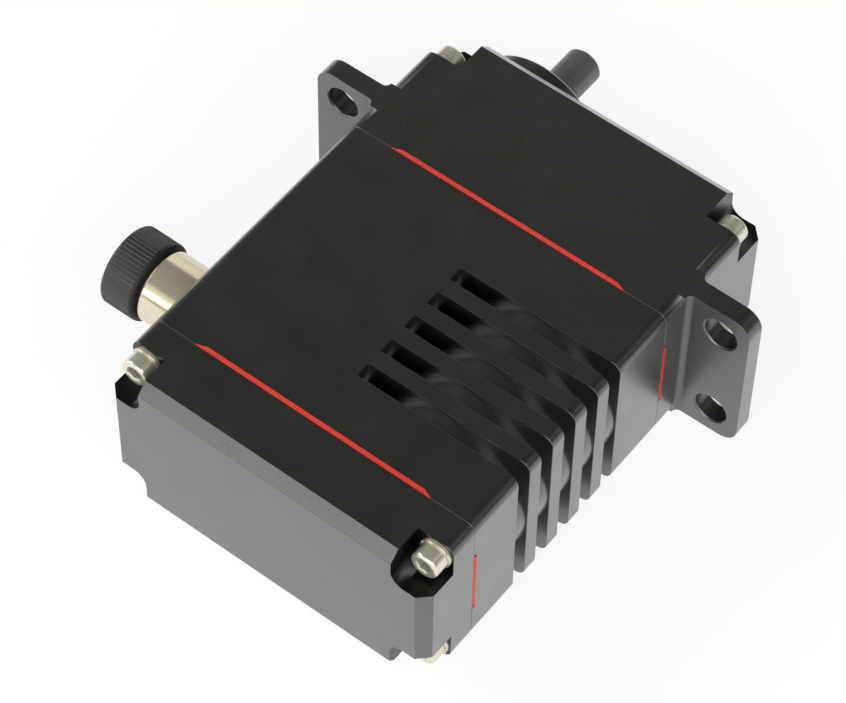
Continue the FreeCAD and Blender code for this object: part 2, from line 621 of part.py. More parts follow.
def cut_cooling_slots(body):
    """Slots round the ribbed side whose floor is a cylinder round the motor."""
    first = section(body, "slot_outline",
                    f"{Y_FRONT_SEAM} - sizes.slot_lead - sizes.slot_width")
    floor = value(SLOT_FLOOR)
    web = value("sizes.slot_web")
    centre = value(X_MOTOR)
    far = f"({X_RIGHT} + sizes.side_wall)"
    high = f"({Z_FACE} + sizes.side_wall)"
    near_x = f"({X_MOTOR} - sqrt(pow({SLOT_FLOOR}; 2) - pow(sizes.slot_web; 2)))"
    corners = [(X_SLOT, "sizes.slot_web"), (X_SLOT, high), (far, high),
               (far, f"-{high}"), (X_SLOT, f"-{high}"),
               (X_SLOT, "-sizes.slot_web"), (near_x, "-sizes.slot_web")]
    points = [Vector(value(x), value(y), 0) for x, y in corners]
    for index in range(6):
        first.addGeometry(Part.LineSegment(points[index], points[index + 1]), False)
    start = math.atan2(-web, points[6].x - centre)
    round_floor = Part.Circle(Vector(centre, 0, 0), Vector(0, 0, 1), floor)
    first.addGeometry(Part.ArcOfCircle(round_floor, start, -start), False)
    last_line = Part.LineSegment(Vector(points[6].x, web, 0), points[0])
    first.addGeometry(last_line, False)
    for index in range(5):
        first.addConstraint(Sketcher.Constraint("Coincident", index, 2, index + 1, 1))
    first.addConstraint(Sketcher.Constraint("Coincident", 5, 2, 6, 1))
    first.addConstraint(Sketcher.Constraint("Coincident", 6, 2, 7, 1))
    first.addConstraint(Sketcher.Constraint("Coincident", 7, 2, 0, 1))
    for index in range(6):
        place_point(first, index, 1, *corners[index])
    first.addConstraint(Sketcher.Constraint("Horizontal", 5))
    first.addConstraint(Sketcher.Constraint("Horizontal", 7))
    place_point(first, 6, 3, X_MOTOR, "0")
    hold_radius(first, 6, SLOT_FLOOR)
    slot = sink(body, "slot", first, "0", "sizes.slot_width")
    pattern = body.newObject("PartDesign::LinearPattern", f"{body.Name}_slots")
    pattern.Originals = [slot]
    pattern.Direction = (first, ["N_Axis"])
    pattern.setExpression("Occurrences", "sizes.slot_count")
    pattern.setExpression("Length", "sizes.slot_pitch * (sizes.slot_count - 1)")
    body.Tip = pattern


def make_output_cover():
    body = new_body("output_cover")
    housing_block(body, Y_FRONT_SEAM, Y_END)
    chamfer_end(body, Y_END, -1)
    boss = disc(body, "boss", "0", "0", "sizes.boss_radius", Y_END, "0")
    doc.recompute()
    rim = edges_where(boss, lambda point: abs(point.y) < 0.01)
    chamfer(body, "boss_edge", boss, rim, "sizes.boss_chamfer")
    lug_front = "(-sizes.lug_setback)"
    lug_back = f"({lug_front} - sizes.lug_thickness)"
    plate = section(body, "lug_outline", lug_back)
    rounded_rectangle(plate, f"{X_LEFT} - sizes.lug_reach", f"{X_RIGHT} + sizes.lug_reach",
                      f"-{Z_FACE}", Z_FACE, "sizes.lug_corner")
    grow(body, "lugs", plate, lug_back, lug_front)
    add_lug_fillets(body, lug_back, lug_front)
    corner_notches(body, Y_FRONT_SEAT, "1")
    gear_pockets(body, Y_FRONT_SEAM, None)
    bore(body, "main_bearing_seat", [("0", "0")], "sizes.main_bearing_radius",
         Y_ROOF, f"{Y_ROOF} + sizes.main_bearing_width")
    bore(body, "nose_bore", [("0", "0")], "sizes.nose_bearing_radius",
         f"{Y_ROOF} + sizes.main_bearing_width", "1")
    bore(body, "axle_seat", [(X_AXLE, "0")], "sizes.axle_radius",
         Y_ROOF, f"{Y_ROOF} + sizes.axle_seat")
    bore(body, "screw_holes", SCREW_CENTRES, "sizes.screw_radius + sizes.screw_hole_gap",
         Y_FRONT_SEAM, Y_FRONT_SEAT)
    lug_x = [f"{X_LEFT} - sizes.lug_hole_out", f"{X_RIGHT} + sizes.lug_hole_out"]
    lug_z = [f"sizes.lug_hole_edge - {Z_FACE}", f"{Z_FACE} - sizes.lug_hole_edge"]
    lug_centres = [(x, z) for x in lug_x for z in lug_z]
    holes = bore(body, "lug_holes", lug_centres, "sizes.lug_hole_radius", lug_back, lug_front)
    doc.recompute()
    reach = value(f"{X_RIGHT} + sizes.lug_hole_out - sizes.lug_hole_radius - 0.1")
    near = value(f"{X_LEFT} - sizes.lug_hole_out + sizes.lug_hole_radius + 0.1")
    planes = (value(lug_back), value(lug_front))
    low = value(f"{Z_FACE} - sizes.lug_hole_edge - sizes.lug_hole_radius")

    def hole_edge(point):
        inside = low - 0.01 < abs(point.z) < value(Z_FACE) - 1
        level = min(abs(point.y - plane) for plane in planes) < 0.01
        beside = reach < point.x < value(X_RIGHT) + value("sizes.lug_reach") - 0.5
        other = value(X_LEFT) - value("sizes.lug_reach") + 0.5 < point.x < near
        return inside and level and (beside or other)

    rims = edges_where(holes, hole_edge)
    chamfer(body, "lug_hole_edges", holes, rims, "sizes.lug_hole_break")
    seal_shapes(body, Y_FRONT_SEAM, "Pocket", "-1")


def add_lug_fillets(body, lug_back, lug_front):
    """Concave rounding between lugs and housing, on both faces of each lug."""
    size = "sizes.lug_fillet"
    sketch = new_sketch(body, "lug_fillet_outline", "XY_Plane")
    for x_side, out in ((X_LEFT, -1), (X_RIGHT, 1)):
        for y_face, up in ((lug_front, 1), (lug_back, -1)):
            corner_x = f"({x_side} - {out} * sizes.edge_radius)"
            foot_x = f"({x_side} + {out} * {size})"
            top_y = f"({y_face} + {up} * {size})"
            fillet_corner(sketch, x_side, corner_x, foot_x, y_face, top_y, out, up)
    feature = add_feature(body, "Pad", "lug_fillets", sketch)
    feature.Midplane = True
    feature.setExpression("Length", "sizes.body_thickness")


def fillet_corner(sketch, x_side, corner_x, foot_x, y_face, top_y, out, up):
    """One fillet section: three straight sides and the concave arc."""
    first = sketch.GeometryCount
    foot = Vector(value(foot_x), value(y_face), 0)
    corner = Vector(value(corner_x), value(y_face), 0)
    inside = Vector(value(corner_x), value(top_y), 0)
    head = Vector(value(x_side), value(top_y), 0)
    for start, stop in ((foot, corner), (corner, inside), (inside, head)):
        sketch.addGeometry(Part.LineSegment(start, stop), False)
    centre = Vector(value(foot_x), value(top_y), 0)
    hollow = Part.Circle(centre, Vector(0, 0, 1), value("sizes.lug_fillet"))
    begin = {(1, 1): 180, (-1, 1): 270, (1, -1): 90, (-1, -1): 0}[(out, up)]
    arc = first + 3
    sketch.addGeometry(Part.ArcOfCircle(hollow, math.radians(begin), math.radians(begin + 90)), False)
    at_head, at_foot = (1, 2) if out == up else (2, 1)
    for index in range(2):
        pair = Sketcher.Constraint("Coincident", first + index, 2, first + index + 1, 1)
        sketch.addConstraint(pair)
    sketch.addConstraint(Sketcher.Constraint("Coincident", first + 2, 2, arc, at_head))
    sketch.addConstraint(Sketcher.Constraint("Coincident", first, 1, arc, at_foot))
    place_point(sketch, first, 1, foot_x, y_face)
    place_point(sketch, first + 1, 1, corner_x, y_face)
    place_point(sketch, first + 2, 1, corner_x, top_y)
    place_point(sketch, first + 2, 2, x_side, top_y)
    hold_radius(sketch, arc, "sizes.lug_fillet")


def make_seals():
    rear = new_body("rear_seal")
    seal_shapes(rear, Y_REAR_SEAM, "Pad", "sizes.seal_sink")
    rear_opening(rear, "opening", Y_REAR_SEAM, f"{Y_REAR_SEAM} + sizes.seal_thickness")
    front = new_body("front_seal")
    seal_shapes(front, Y_FRONT_SEAM, "Pad", "sizes.seal_sink")
    gear_pockets(front, Y_FRONT_SEAM, f"{Y_FRONT_SEAM} + sizes.seal_thickness")


# ---------------------------------------------------------------------------------------------
# Fasteners
# ---------------------------------------------------------------------------------------------

def socket_screw(name, seat, length, outward):
    """One corner screw with its hexagon socket; outward is the side its head faces."""
    body = new_body(name, keep=False)
    head = f"({seat} + {outward} * sizes.washer_thickness)"
    tip = f"({head} - {outward} * {length})"
    top = f"({head} + {outward} * sizes.head_height)"
    sketch = new_sketch(body, "profile", "XY_Plane")
    polygon(sketch, [("0", tip), ("sizes.screw_radius", tip), ("sizes.screw_radius", head),
                     ("sizes.head_radius", head), ("sizes.head_radius", top), ("0", top)])
    feature = add_feature(body, "Revolution", "turn", sketch)
    feature.ReferenceAxis = (sketch, ["V_Axis"])
    feature.Angle = 360
    bottom = f"({top} - {outward} * sizes.hex_depth)"
    low, high = (bottom, top) if outward > 0 else (top, bottom)
    socket = section(body, "socket_outline", low)
    across = "(sizes.hex_width / sqrt(3))"
    polygon(socket, [(f"{across} * cos({60 * k})", f"{across} * sin({60 * k})") for k in range(6)])
    sink(body, "socket", socket, low, high)
    return body


def at_four_corners(name, piece):
    """A piece in the left front corner and its mirror images in the other three."""
    x, z = SCREW_CENTRES[0]
    piece.setExpression("Placement.Base.x", x)
    piece.setExpression("Placement.Base.z", z)
    lower = mirror(f"{name}_lower", piece, Vector(0, 0, 1))
    right = mirror(f"{name}_right", piece, Vector(1, 0, 0))
    right_lower = mirror(f"{name}_right_lower", lower, Vector(1, 0, 0))
    group(name, [piece, lower, right, right_lower])


def mirror(name, source, normal):
    image = doc.addObject("Part::Mirroring", name)
    image.Source = source
    image.Normal = normal
    if normal.x:
        image.setExpression("Base.x", X_MIDDLE)
    return image


def group(name, pieces):
    """Separate solids that are kept together as one named node."""
    bundle = doc.addObject("Part::Compound", name)
    bundle.Label = name
    bundle.Links = pieces
    nodes.append(bundle)
    return bundle


def make_corner_screws():
    rear = socket_screw("rear_screw", Y_REAR_SEAT, "sizes.rear_screw_length", -1)
    at_four_corners("rear_screws", rear)
    front = socket_screw("front_screw", Y_FRONT_SEAT, "sizes.front_screw_length", 1)
    at_four_corners("front_screws", front)
    hole = "sizes.screw_radius + sizes.screw_hole_gap"
    rear_washer = ring("rear_washer", hole, "sizes.washer_radius",
                       f"{Y_REAR_SEAT} - sizes.washer_thickness", Y_REAR_SEAT, keep=False)
    at_four_corners("rear_washers", rear_washer)
    front_washer = ring("front_washer", hole, "sizes.washer_radius",
                        Y_FRONT_SEAT, f"{Y_FRONT_SEAT} + sizes.washer_thickness", keep=False)
    at_four_corners("front_washers", front_washer)


# ---------------------------------------------------------------------------------------------
# Output shaft, bearings and shaft seal
# ---------------------------------------------------------------------------------------------

# Heights of the gear stages along the train, from the bulkhead forward
Y_STAGE1 = f"({Y_FRONT_SEAM} + 1.6 * sizes.side_gap)"
Y_STAGE2 = f"({Y_STAGE1} + sizes.stage1_face + sizes.side_gap)"
Y_STAGE3 = f"({Y_STAGE2} + sizes.stage2_face + 2 * sizes.side_gap)"
Y_STAGE4 = f"({Y_STAGE3} + sizes.stage3_face + 2 * sizes.side_gap)"
Y_STAGE4_END = f"({Y_STAGE4} + sizes.stage4_face)"
Y_COLLAR_END = f"({Y_ROOF} - sizes.side_gap)"
Y_CLIP = f"({Y_BULKHEAD} - 2 * sizes.side_gap - sizes.clip_thickness)"
Y_MAGNET = f"({Y_FOOT} - sizes.magnet_thickness)"
Y_SENSOR_CHIP = f"({Y_MAGNET} - sizes.sensor_gap)"
Y_SENSOR_BOARD = f"({Y_SENSOR_CHIP} - sizes.sensor_chip_height)"


def make_output_shaft():
    tip = "sizes.shaft_reach"
    free = "sizes.shaft_radius"
    journal = "sizes.journal_radius"
    collar = "sizes.collar_radius"
    foot = "sizes.foot_radius"
    nose = "sizes.nose_journal_radius"
    turned("output_shaft", [
        ("0", Y_FOOT), (foot, Y_FOOT), (foot, f"{Y_STAGE4} - sizes.side_gap"),
        (journal, f"{Y_STAGE4} - sizes.side_gap"), (journal, Y_STAGE4_END), (collar, Y_STAGE4_END),
        (collar, Y_COLLAR_END), (journal, Y_COLLAR_END), (journal, Y_SHAFT_STEP),
        (nose, Y_SHAFT_STEP), (nose, "0"), (free, "0"), (free, f"{tip} - sizes.shaft_tip"),
        (f"{free} - sizes.shaft_tip", tip), ("0", tip)])
    ring("foot_spacer", foot, f"{foot} + sizes.spacer_wall", f"{Y_FRONT_SEAM} + sizes.ball_gap",
         f"{Y_STAGE2} - sizes.side_gap")
    ring("shaft_clip", foot, "sizes.clip_radius", Y_CLIP, f"{Y_CLIP} + sizes.clip_thickness")


def ball_bearing(name, bore_radius, outer_radius, y0, y1):
    """Inner ring, outer ring and balls of a deep-groove bearing on the output axis."""
    wall = "sizes.race_wall"
    ring(f"{name}_inner", bore_radius, f"{bore_radius} + {wall}", y0, y1)
    ring(f"{name}_outer", f"{outer_radius} - {wall}", outer_radius, y0, y1)
    track = value(f"({bore_radius} + {outer_radius}) / 2")
    radius = value(f"({outer_radius} - {bore_radius}) / 2 - {wall} - sizes.ball_gap")
    middle = value(f"({y0} + {y1}) / 2")
    count = int(value("sizes.ball_count"))
    balls = []
    for index in range(count):
        turn = 2 * math.pi * index / count
        centre = Vector(track * math.cos(turn), middle, track * math.sin(turn))
        balls.append(Part.makeSphere(radius, centre))
    fixed_shape(f"{name}_balls", Part.makeCompound(balls))


def fixed_shape(name, shape):
    piece = doc.addObject("Part::Feature", name)
    piece.Label = name
    piece.Shape = shape
    piece.Placement = Placement()
    nodes.append(piece)
    return piece


def make_bearings():
    ball_bearing("main_bearing", "sizes.journal_radius", "sizes.main_bearing_radius",
                 Y_ROOF, Y_SHAFT_STEP)
    ball_bearing("nose_bearing", "sizes.nose_journal_radius", "sizes.nose_bearing_radius",
                 Y_SHAFT_STEP, Y_NOSE_END)
    ball_bearing("foot_bearing", "sizes.foot_radius", "sizes.foot_bearing_radius",
                 f"{Y_FRONT_SEAM} - sizes.foot_bearing_width", Y_FRONT_SEAM)
    lip = "sizes.nose_journal_radius + sizes.running_gap"
    top = "(-sizes.lip_seal_sink)"
    base = f"({top} - sizes.lip_seal_width)"
    outer = "sizes.nose_bearing_radius"
    turned("shaft_seal", [(lip, base), (outer, base), (outer, top), (f"{outer} - 1", top),
                          (f"{lip} + 1", f"{top} - 0.5"), (lip, f"{top} - 0.2")])


# ---------------------------------------------------------------------------------------------
# Gear train
# ---------------------------------------------------------------------------------------------

PRESSURE_ANGLE = math.radians(20)


def involute(angle):
    return math.tan(angle) - angle


def gear_outline(teeth, module, shift, phase):
    """Involute tooth outline round the origin, a tooth centred on the angle phase."""
    pitch_radius = module * teeth / 2
    base_radius = pitch_radius * math.cos(PRESSURE_ANGLE)
    root_radius = module * (teeth / 2 - 1.25 + shift)
    tip_radius = module * (teeth / 2 + 1 + shift)
    thickness = module * (math.pi / 2 + 2 * shift * math.tan(PRESSURE_ANGLE))
    half = (thickness - value("sizes.backlash") / 2) / (2 * pitch_radius)
    start = max(base_radius, root_radius)
    flank = []
    if root_radius < base_radius:
        flank.append((root_radius, half + involute(PRESSURE_ANGLE)))
    for step in range(4):
        radius = start + (tip_radius - start) * step / 3
        angle = math.acos(min(1.0, base_radius / radius))
        flank.append((radius, half + involute(PRESSURE_ANGLE) - involute(angle)))
    points = []
    for tooth in range(teeth):
        middle = phase + 2 * math.pi * tooth / teeth
        for radius, angle in flank:
            points.append((radius, middle - angle))
        for radius, angle in reversed(flank):
            points.append((radius, middle + angle))
    return [Vector(radius * math.cos(angle), 0, radius * math.sin(angle)) for radius, angle in points]


def toothed_disc(outline, x, y0, y1):
    corners = [point + Vector(x, y0, 0) for point in outline]
    face = Part.Face(Part.makePolygon(corners + corners[:1]))
    return face.extrude(Vector(0, y1 - y0, 0))


def gear(stage, kind, x, y0, y1, tooth_on_mesh):
    """A pinion or wheel of one stage; its mesh lies along X, towards the other shaft."""
    teeth = int(value(f"sizes.stage{stage}_{kind}"))
    shift = value("sizes.pinion_shift") * (1 if kind == "pinion" else -1)
    phase = 0 if tooth_on_mesh else math.pi + math.pi / teeth
    outline = gear_outline(teeth, value(module_of(stage)), shift, phase)
    return toothed_disc(outline, value(x), value(y0), value(y1))


def hole_through(shape, x, radius):
    """Bores a gear for its shaft."""
    box = shape.BoundBox
    start = Vector(value(x), box.YMin - 1, 0)
    return shape.cut(Part.makeCylinder(value(radius), box.YLength + 2, start, Vector(0, 1, 0)))


def make_gears():
    run = "sizes.axle_radius + sizes.running_gap"
    pinion = gear(1, "pinion", X_MOTOR, f"{Y_STAGE1} - 0.1", f"{Y_STAGE2} + 0.5", False)
    fixed_shape("motor_pinion", hole_through(pinion, X_MOTOR, "sizes.rotor_shaft_radius"))

    wheel = gear(1, "wheel", X_AXLE, Y_STAGE1, f"{Y_STAGE1} + sizes.stage1_face", True)
    pinion = gear(2, "pinion", X_AXLE, f"{Y_STAGE1} + sizes.stage1_face",
                  f"{Y_STAGE3} - sizes.side_gap", False)
    fixed_shape("first_gear", hole_through(wheel.fuse(pinion), X_AXLE, run))

    wheel = gear(2, "wheel", "0", Y_STAGE2, f"{Y_STAGE2} + sizes.stage2_face", True)
    pinion = gear(3, "pinion", "0", f"{Y_STAGE2} + sizes.stage2_face",
                  f"{Y_STAGE4} - 2 * sizes.side_gap", True)
    gear_bore = "sizes.foot_radius + sizes.running_gap"
    fixed_shape("second_gear", hole_through(wheel.fuse(pinion), "0", gear_bore))

    wheel = gear(3, "wheel", X_AXLE, Y_STAGE3, f"{Y_STAGE3} + sizes.stage3_face", False)
    pinion = gear(4, "pinion", X_AXLE, f"{Y_STAGE3} + sizes.stage3_face",
                  f"{Y_STAGE4_END} + sizes.side_gap", False)
    fixed_shape("third_gear", hole_through(wheel.fuse(pinion), X_AXLE, run))

    wheel = gear(4, "wheel", "0", Y_STAGE4, Y_STAGE4_END, True)
    fixed_shape("output_gear", hole_through(wheel, "0", "sizes.journal_radius"))


def make_idler_axle():
    turned("idler_axle", [("0", f"{Y_FRONT_SEAM} - sizes.axle_seat"),
                          ("sizes.axle_radius", f"{Y_FRONT_SEAM} - sizes.axle_seat"),
                          ("sizes.axle_radius", f"{Y_ROOF} + sizes.axle_seat"),
                          ("0", f"{Y_ROOF} + sizes.axle_seat")], x=X_AXLE)
    ring("axle_spacer", "sizes.axle_radius", "sizes.axle_radius + sizes.spacer_wall",
         f"{Y_STAGE4_END} + 2 * sizes.side_gap", Y_ROOF, x=X_AXLE)


# ---------------------------------------------------------------------------------------------
# Motor
# ---------------------------------------------------------------------------------------------

def make_motor():
    inner = f"({MOTOR_RADIUS} - sizes.can_wall)"
    outer = MOTOR_RADIUS
    pilot = "sizes.pilot_radius"
    seat = "sizes.motor_bearing_radius"
    lip = f"({seat} - 0.8)"
    face = f"({Y_BULKHEAD} - sizes.can_face)"
    pilot_top = f"({Y_BULKHEAD} + sizes.pilot_height)"
    can = turned("motor_can", [
        (inner, Y_MOTOR_REAR), (outer, Y_MOTOR_REAR), (outer, Y_BULKHEAD), (pilot, Y_BULKHEAD),
        (pilot, pilot_top), (lip, pilot_top), (lip, f"{face} + sizes.motor_bearing_width"),
        (seat, f"{face} + sizes.motor_bearing_width"), (seat, face), (inner, face)], x=X_MOTOR)
    threads = section(can, "screw_threads_outline", face)
    circle(threads, "0", "sizes.motor_screw_offset", "sizes.motor_screw_radius")
    circle(threads, "0", "-sizes.motor_screw_offset", "sizes.motor_screw_radius")
    sink(can, "screw_threads", threads, face, Y_BULKHEAD)

    cap_front = f"({Y_MOTOR_REAR} + sizes.end_cap_thickness)"
    rear_seat = f"({cap_front} - sizes.motor_bearing_width)"
    turned("motor_end_cap", [("0", Y_MOTOR_REAR), (inner, Y_MOTOR_REAR), (inner, cap_front),
                             (seat, cap_front), (seat, rear_seat), ("0", rear_seat)], x=X_MOTOR)

    core_front = f"({face} - sizes.winding_overhang - sizes.winding_room)"
    core_rear = f"({cap_front} + sizes.winding_overhang + sizes.winding_room)"
    core_inner = f"({inner} - sizes.core_thickness)"
    ring("stator_core", core_inner, inner, core_rear, core_front, x=X_MOTOR)
    coil_inner = f"({core_inner} - sizes.winding_thickness)"
    ring("stator_winding", coil_inner, core_inner, f"{core_rear} - sizes.winding_overhang",
         f"{core_front} + sizes.winding_overhang", x=X_MOTOR)
    ring("rotor_magnet", "sizes.rotor_shaft_radius", f"{coil_inner} - sizes.air_gap",
         core_rear, core_front, x=X_MOTOR)
    shaft = "sizes.rotor_shaft_radius"
    shaft_rear = f"({rear_seat} + sizes.side_gap)"
    turned("rotor_shaft", [("0", shaft_rear), (shaft, shaft_rear), (shaft, f"{Y_STAGE2} + 0.9"),
                           ("0", f"{Y_STAGE2} + 0.9")], x=X_MOTOR)
    hole = f"{shaft} + sizes.running_gap"
    front_bearing = ring("motor_front_bearing", hole, seat, face,
                         f"{face} + sizes.motor_bearing_width", x=X_MOTOR, keep=False)
    rear_bearing = ring("motor_rear_bearing", hole, seat, rear_seat, cap_front, x=X_MOTOR,
                        keep=False)
    group("motor_bearings", [front_bearing, rear_bearing])

    head_base = f"({Y_FRONT_SEAM} - sizes.motor_screw_sink)"
    shank = "sizes.motor_screw_radius"
    screw = turned("motor_screw", [
        ("0", face), (shank, face), (shank, head_base), ("sizes.motor_screw_head", head_base),
        ("sizes.motor_screw_head", f"{head_base} + 1.3"), ("0", f"{head_base} + 1.3")],
        x=X_MOTOR, z="sizes.motor_screw_offset", keep=False)
    group("motor_screws", [screw, mirror("motor_screw_lower", screw, Vector(0, 0, 1))])


# ---------------------------------------------------------------------------------------------
# Controller and position sensor
# ---------------------------------------------------------------------------------------------

def block(name, x0, x1, y0, y1, z0, z1, keep=True):
    box = doc.addObject("Part::Box", name)
    box.Label = name
    for prop, start, stop in (("Length", x0, x1), ("Width", y0, y1), ("Height", z0, z1)):
        box.setExpression(prop, f"({stop}) - ({start})")
    for axis, start in (("x", x0), ("y", y0), ("z", z0)):
        box.setExpression(f"Placement.Base.{axis}", start)
    if keep:
        nodes.append(box)
    return box


def make_electronics():
    turned("sensor_magnet", [("0", Y_MAGNET), ("sizes.magnet_radius", Y_MAGNET),
                             ("sizes.magnet_radius", Y_FOOT), ("0", Y_FOOT)])
    chip_x = "sizes.sensor_chip_length / 2"
    chip_z = "sizes.sensor_chip_width / 2"
    block("sensor_chip", f"-{chip_x}", chip_x, Y_SENSOR_BOARD, Y_SENSOR_CHIP,
          f"-{chip_z}", chip_z)
    edge = "(sizes.sensor_post_offset + sizes.sensor_post_radius)"
    block("sensor_board", f"-{edge}", edge, f"{Y_SENSOR_BOARD} - sizes.sensor_board_thickness",
          Y_SENSOR_BOARD, f"-{chip_z} - sizes.part_margin",
          "sizes.sensor_post_height + sizes.sensor_post_radius")

    rail = "(sizes.board_rail - sizes.running_gap)"
    board = new_body("controller_board")
    board_x = f"({X_LEFT} + sizes.side_wall - {rail})"
    board_z = f"({Z_BOARD} - sizes.board_thickness)"
    plate = section(board, "plate_outline", Y_BOARD_REAR)
    rectangle(plate, board_x, f"{X_CHAMBER} + {rail}", board_z, Z_BOARD)
    grow(board, "plate", plate, Y_BOARD_REAR, f"{Y_BOARD_FRONT} - sizes.running_gap")
    half = "(sizes.nut_width / sqrt(3) + sizes.board_cutout_gap)"
    cutout = section(board, "cutout_outline", f"{Y_PLUG} - {half}")
    rectangle(cutout, board_x, f"{X_LEFT} + sizes.side_wall + sizes.tail_length + sizes.board_cutout_gap",
              board_z, Z_BOARD)
    sink(board, "cutout", cutout, f"{Y_PLUG} - {half}", f"{Y_PLUG} + {half}")
    first_row = f"({Y_BOARD_REAR} + sizes.part_margin)"
    middle = f"(({X_LEFT} + sizes.side_wall + {X_CHAMBER}) / 2)"
    processor_y = f"({first_row} + 2 * sizes.transistor_pitch + sizes.part_margin)"
    processor_x = f"({X_LEFT} + sizes.side_wall + sizes.tail_length + sizes.processor_gap)"
    block("processor_chip", processor_x, f"{processor_x} + sizes.processor_side",
          processor_y, f"{processor_y} + sizes.processor_side",
          Z_BOARD, f"{Z_BOARD} + sizes.processor_height")
    transistors = []
    for row in range(2):
        for column in range(3):
            x0 = f"({middle} + {column} * sizes.transistor_pitch - sizes.part_margin)"
            y0 = f"({first_row} + {row} * sizes.transistor_pitch)"
            chip = block(f"transistor_{row}_{column}", x0, f"{x0} + sizes.transistor_side",
                         y0, f"{y0} + sizes.transistor_side",
                         Z_BOARD, f"{Z_BOARD} + sizes.transistor_height", keep=False)
            transistors.append(chip)
    group("power_transistors", transistors)
    cans = []
    for index in range(2):
        can = doc.addObject("Part::Cylinder", f"capacitor_{index}")
        can.setExpression("Radius", "sizes.capacitor_radius")
        can.setExpression("Height", "sizes.capacitor_height")
        out = "(sizes.capacitor_radius + sizes.part_margin)"
        can.setExpression("Placement.Base.x", f"{X_CHAMBER} - {out}")
        can.setExpression("Placement.Base.y", f"{processor_y} + {out} + {index} * sizes.capacitor_pitch")
        can.setExpression("Placement.Base.z", Z_BOARD)
        cans.append(can)
    group("capacitors", cans)


# ---------------------------------------------------------------------------------------------
# Round connector and its cap, turned about an axis that leaves the plain narrow side
# ---------------------------------------------------------------------------------------------

CONNECTOR = {"x": X_LEFT, "y": Y_PLUG, "axis": Vector(-1, 0, 0)}
CAP_TOP = "(sizes.barrel_length + sizes.cap_collar + sizes.cap_knurl)"
NOSE_END = f"({CAP_TOP} - sizes.cap_wall - sizes.cap_seal_thickness)"


def make_connector():
    barrel = "sizes.barrel_radius"
    nose = "sizes.nose_radius"
    socket = "sizes.socket_radius"
    tail = "sizes.tail_radius"
    wall = "sizes.side_wall"
    tail_end = f"(-{wall} - sizes.tail_length)"
    thread = f"({nose} - 0.05)"
    turned("connector_shell", [
        (socket, tail_end), (tail, tail_end), (tail, f"-{wall}"), (thread, f"-{wall}"), (thread, "0"),
        (barrel, "0"), (barrel, "sizes.barrel_length"), (thread, "sizes.barrel_length"),
        (thread, NOSE_END), (socket, NOSE_END)], **CONNECTOR)
    ring("connector_insert", "0", socket, tail_end, f"{NOSE_END} - sizes.socket_depth", **CONNECTOR)
    nut = new_body("connector_nut")
    outline = section(nut, "outline", f"-{wall} - sizes.nut_thickness")
    across = "(sizes.nut_width / sqrt(3))"
    polygon(outline, [(f"{across} * cos({60 * k})", f"{across} * sin({60 * k})") for k in range(6)])
    grow(nut, "hexagon", outline, f"-{wall} - sizes.nut_thickness", f"-{wall}")
    bore(nut, "thread", [("0", "0")], tail, f"-{wall} - sizes.nut_thickness", f"-{wall}")
    nut.Placement = Placement(Vector(), Rotation(Vector(0, 1, 0), CONNECTOR["axis"]))
    nut.setExpression("Placement.Base.x", CONNECTOR["x"])
    nut.setExpression("Placement.Base.y", CONNECTOR["y"])
    pins = []
    for index in range(int(value("sizes.pin_count"))):
        turn = 2 * math.pi * index / int(value("sizes.pin_count"))
        offset = Vector(0, math.cos(turn), math.sin(turn)) * value("sizes.pin_circle")
        start = Vector(value(f"{X_LEFT} - {NOSE_END} + sizes.socket_depth"), value(Y_PLUG), 0)
        pins.append(Part.makeCylinder(value("sizes.pin_radius"), value("sizes.socket_depth") - 0.6,
                                      start + offset, Vector(-1, 0, 0)))
    fixed_shape("connector_pins", Part.makeCompound(pins))


def make_cap():
    """Knurled cap with a plain collar; its hollow clears the threaded nose."""
    outer = "sizes.cap_radius"
    hollow = "(sizes.nose_radius + sizes.running_gap)"
    base = "sizes.barrel_length"
    collar_top = f"({base} + sizes.cap_collar)"
    room = f"({CAP_TOP} - sizes.cap_wall)"
    profile = turned("cap_blank", [
        (hollow, f"{base} + 0.1"), (f"{outer} - 0.6", f"{base} + 0.1"), (f"{outer} - 0.2", collar_top),
        (outer, collar_top), (outer, f"{CAP_TOP} - 0.4"), (f"{outer} - 0.4", CAP_TOP),
        ("0", CAP_TOP), ("0", room), (hollow, room)], keep=False, **CONNECTOR)
    doc.recompute()
    count = int(value("sizes.knurl_count"))
    radius = value(outer)
    valley = radius - value("sizes.knurl_depth")
    points = []
    for index in range(2 * count):
        turn = math.pi * index / count
        reach = radius if index % 2 else valley
        points.append(Vector(reach * math.cos(turn), 0, reach * math.sin(turn)))
    knurl = toothed_disc(points, 0, value(collar_top), value(CAP_TOP))
    smooth = Part.makeCylinder(radius + 1, value(collar_top), Vector(), Vector(0, 1, 0))
    envelope = knurl.fuse(smooth)
    envelope.Placement = profile.Placement
    fixed_shape("knurled_cap", profile.Shape.common(envelope))
    ring("cap_seal", "0", f"{hollow} - 0.1", f"{room} - sizes.cap_seal_thickness", room, **CONNECTOR)


# ---------------------------------------------------------------------------------------------
# Build, check and export
# ---------------------------------------------------------------------------------------------

def check_and_export():
    doc.recompute()
    for item in doc.Objects:
        bad = [state for state in item.State if state in ("Invalid", "Error")]
        if bad:
            raise RuntimeError(f"{item.Name}: {bad} {item.getStatusString()}")
    os.makedirs("parts", exist_ok=True)
    for node in nodes:
        shape = node.Shape
        if shape.isNull() or not shape.isValid() or not shape.Solids:
            raise RuntimeError(f"{node.Label}: the shape is not a valid solid")
        shape.exportStep(f"parts/{node.Label}.step")
        box = shape.BoundBox
        print(f"{node.Label:20s} solids {len(shape.Solids):2d} volume {shape.Volume:9.1f} "
              f"x {box.XMin:6.1f} {box.XMax:6.1f} y {box.YMin:6.1f} {box.YMax:6.1f} "
              f"z {box.ZMin:6.1f} {box.ZMax:6.1f}")


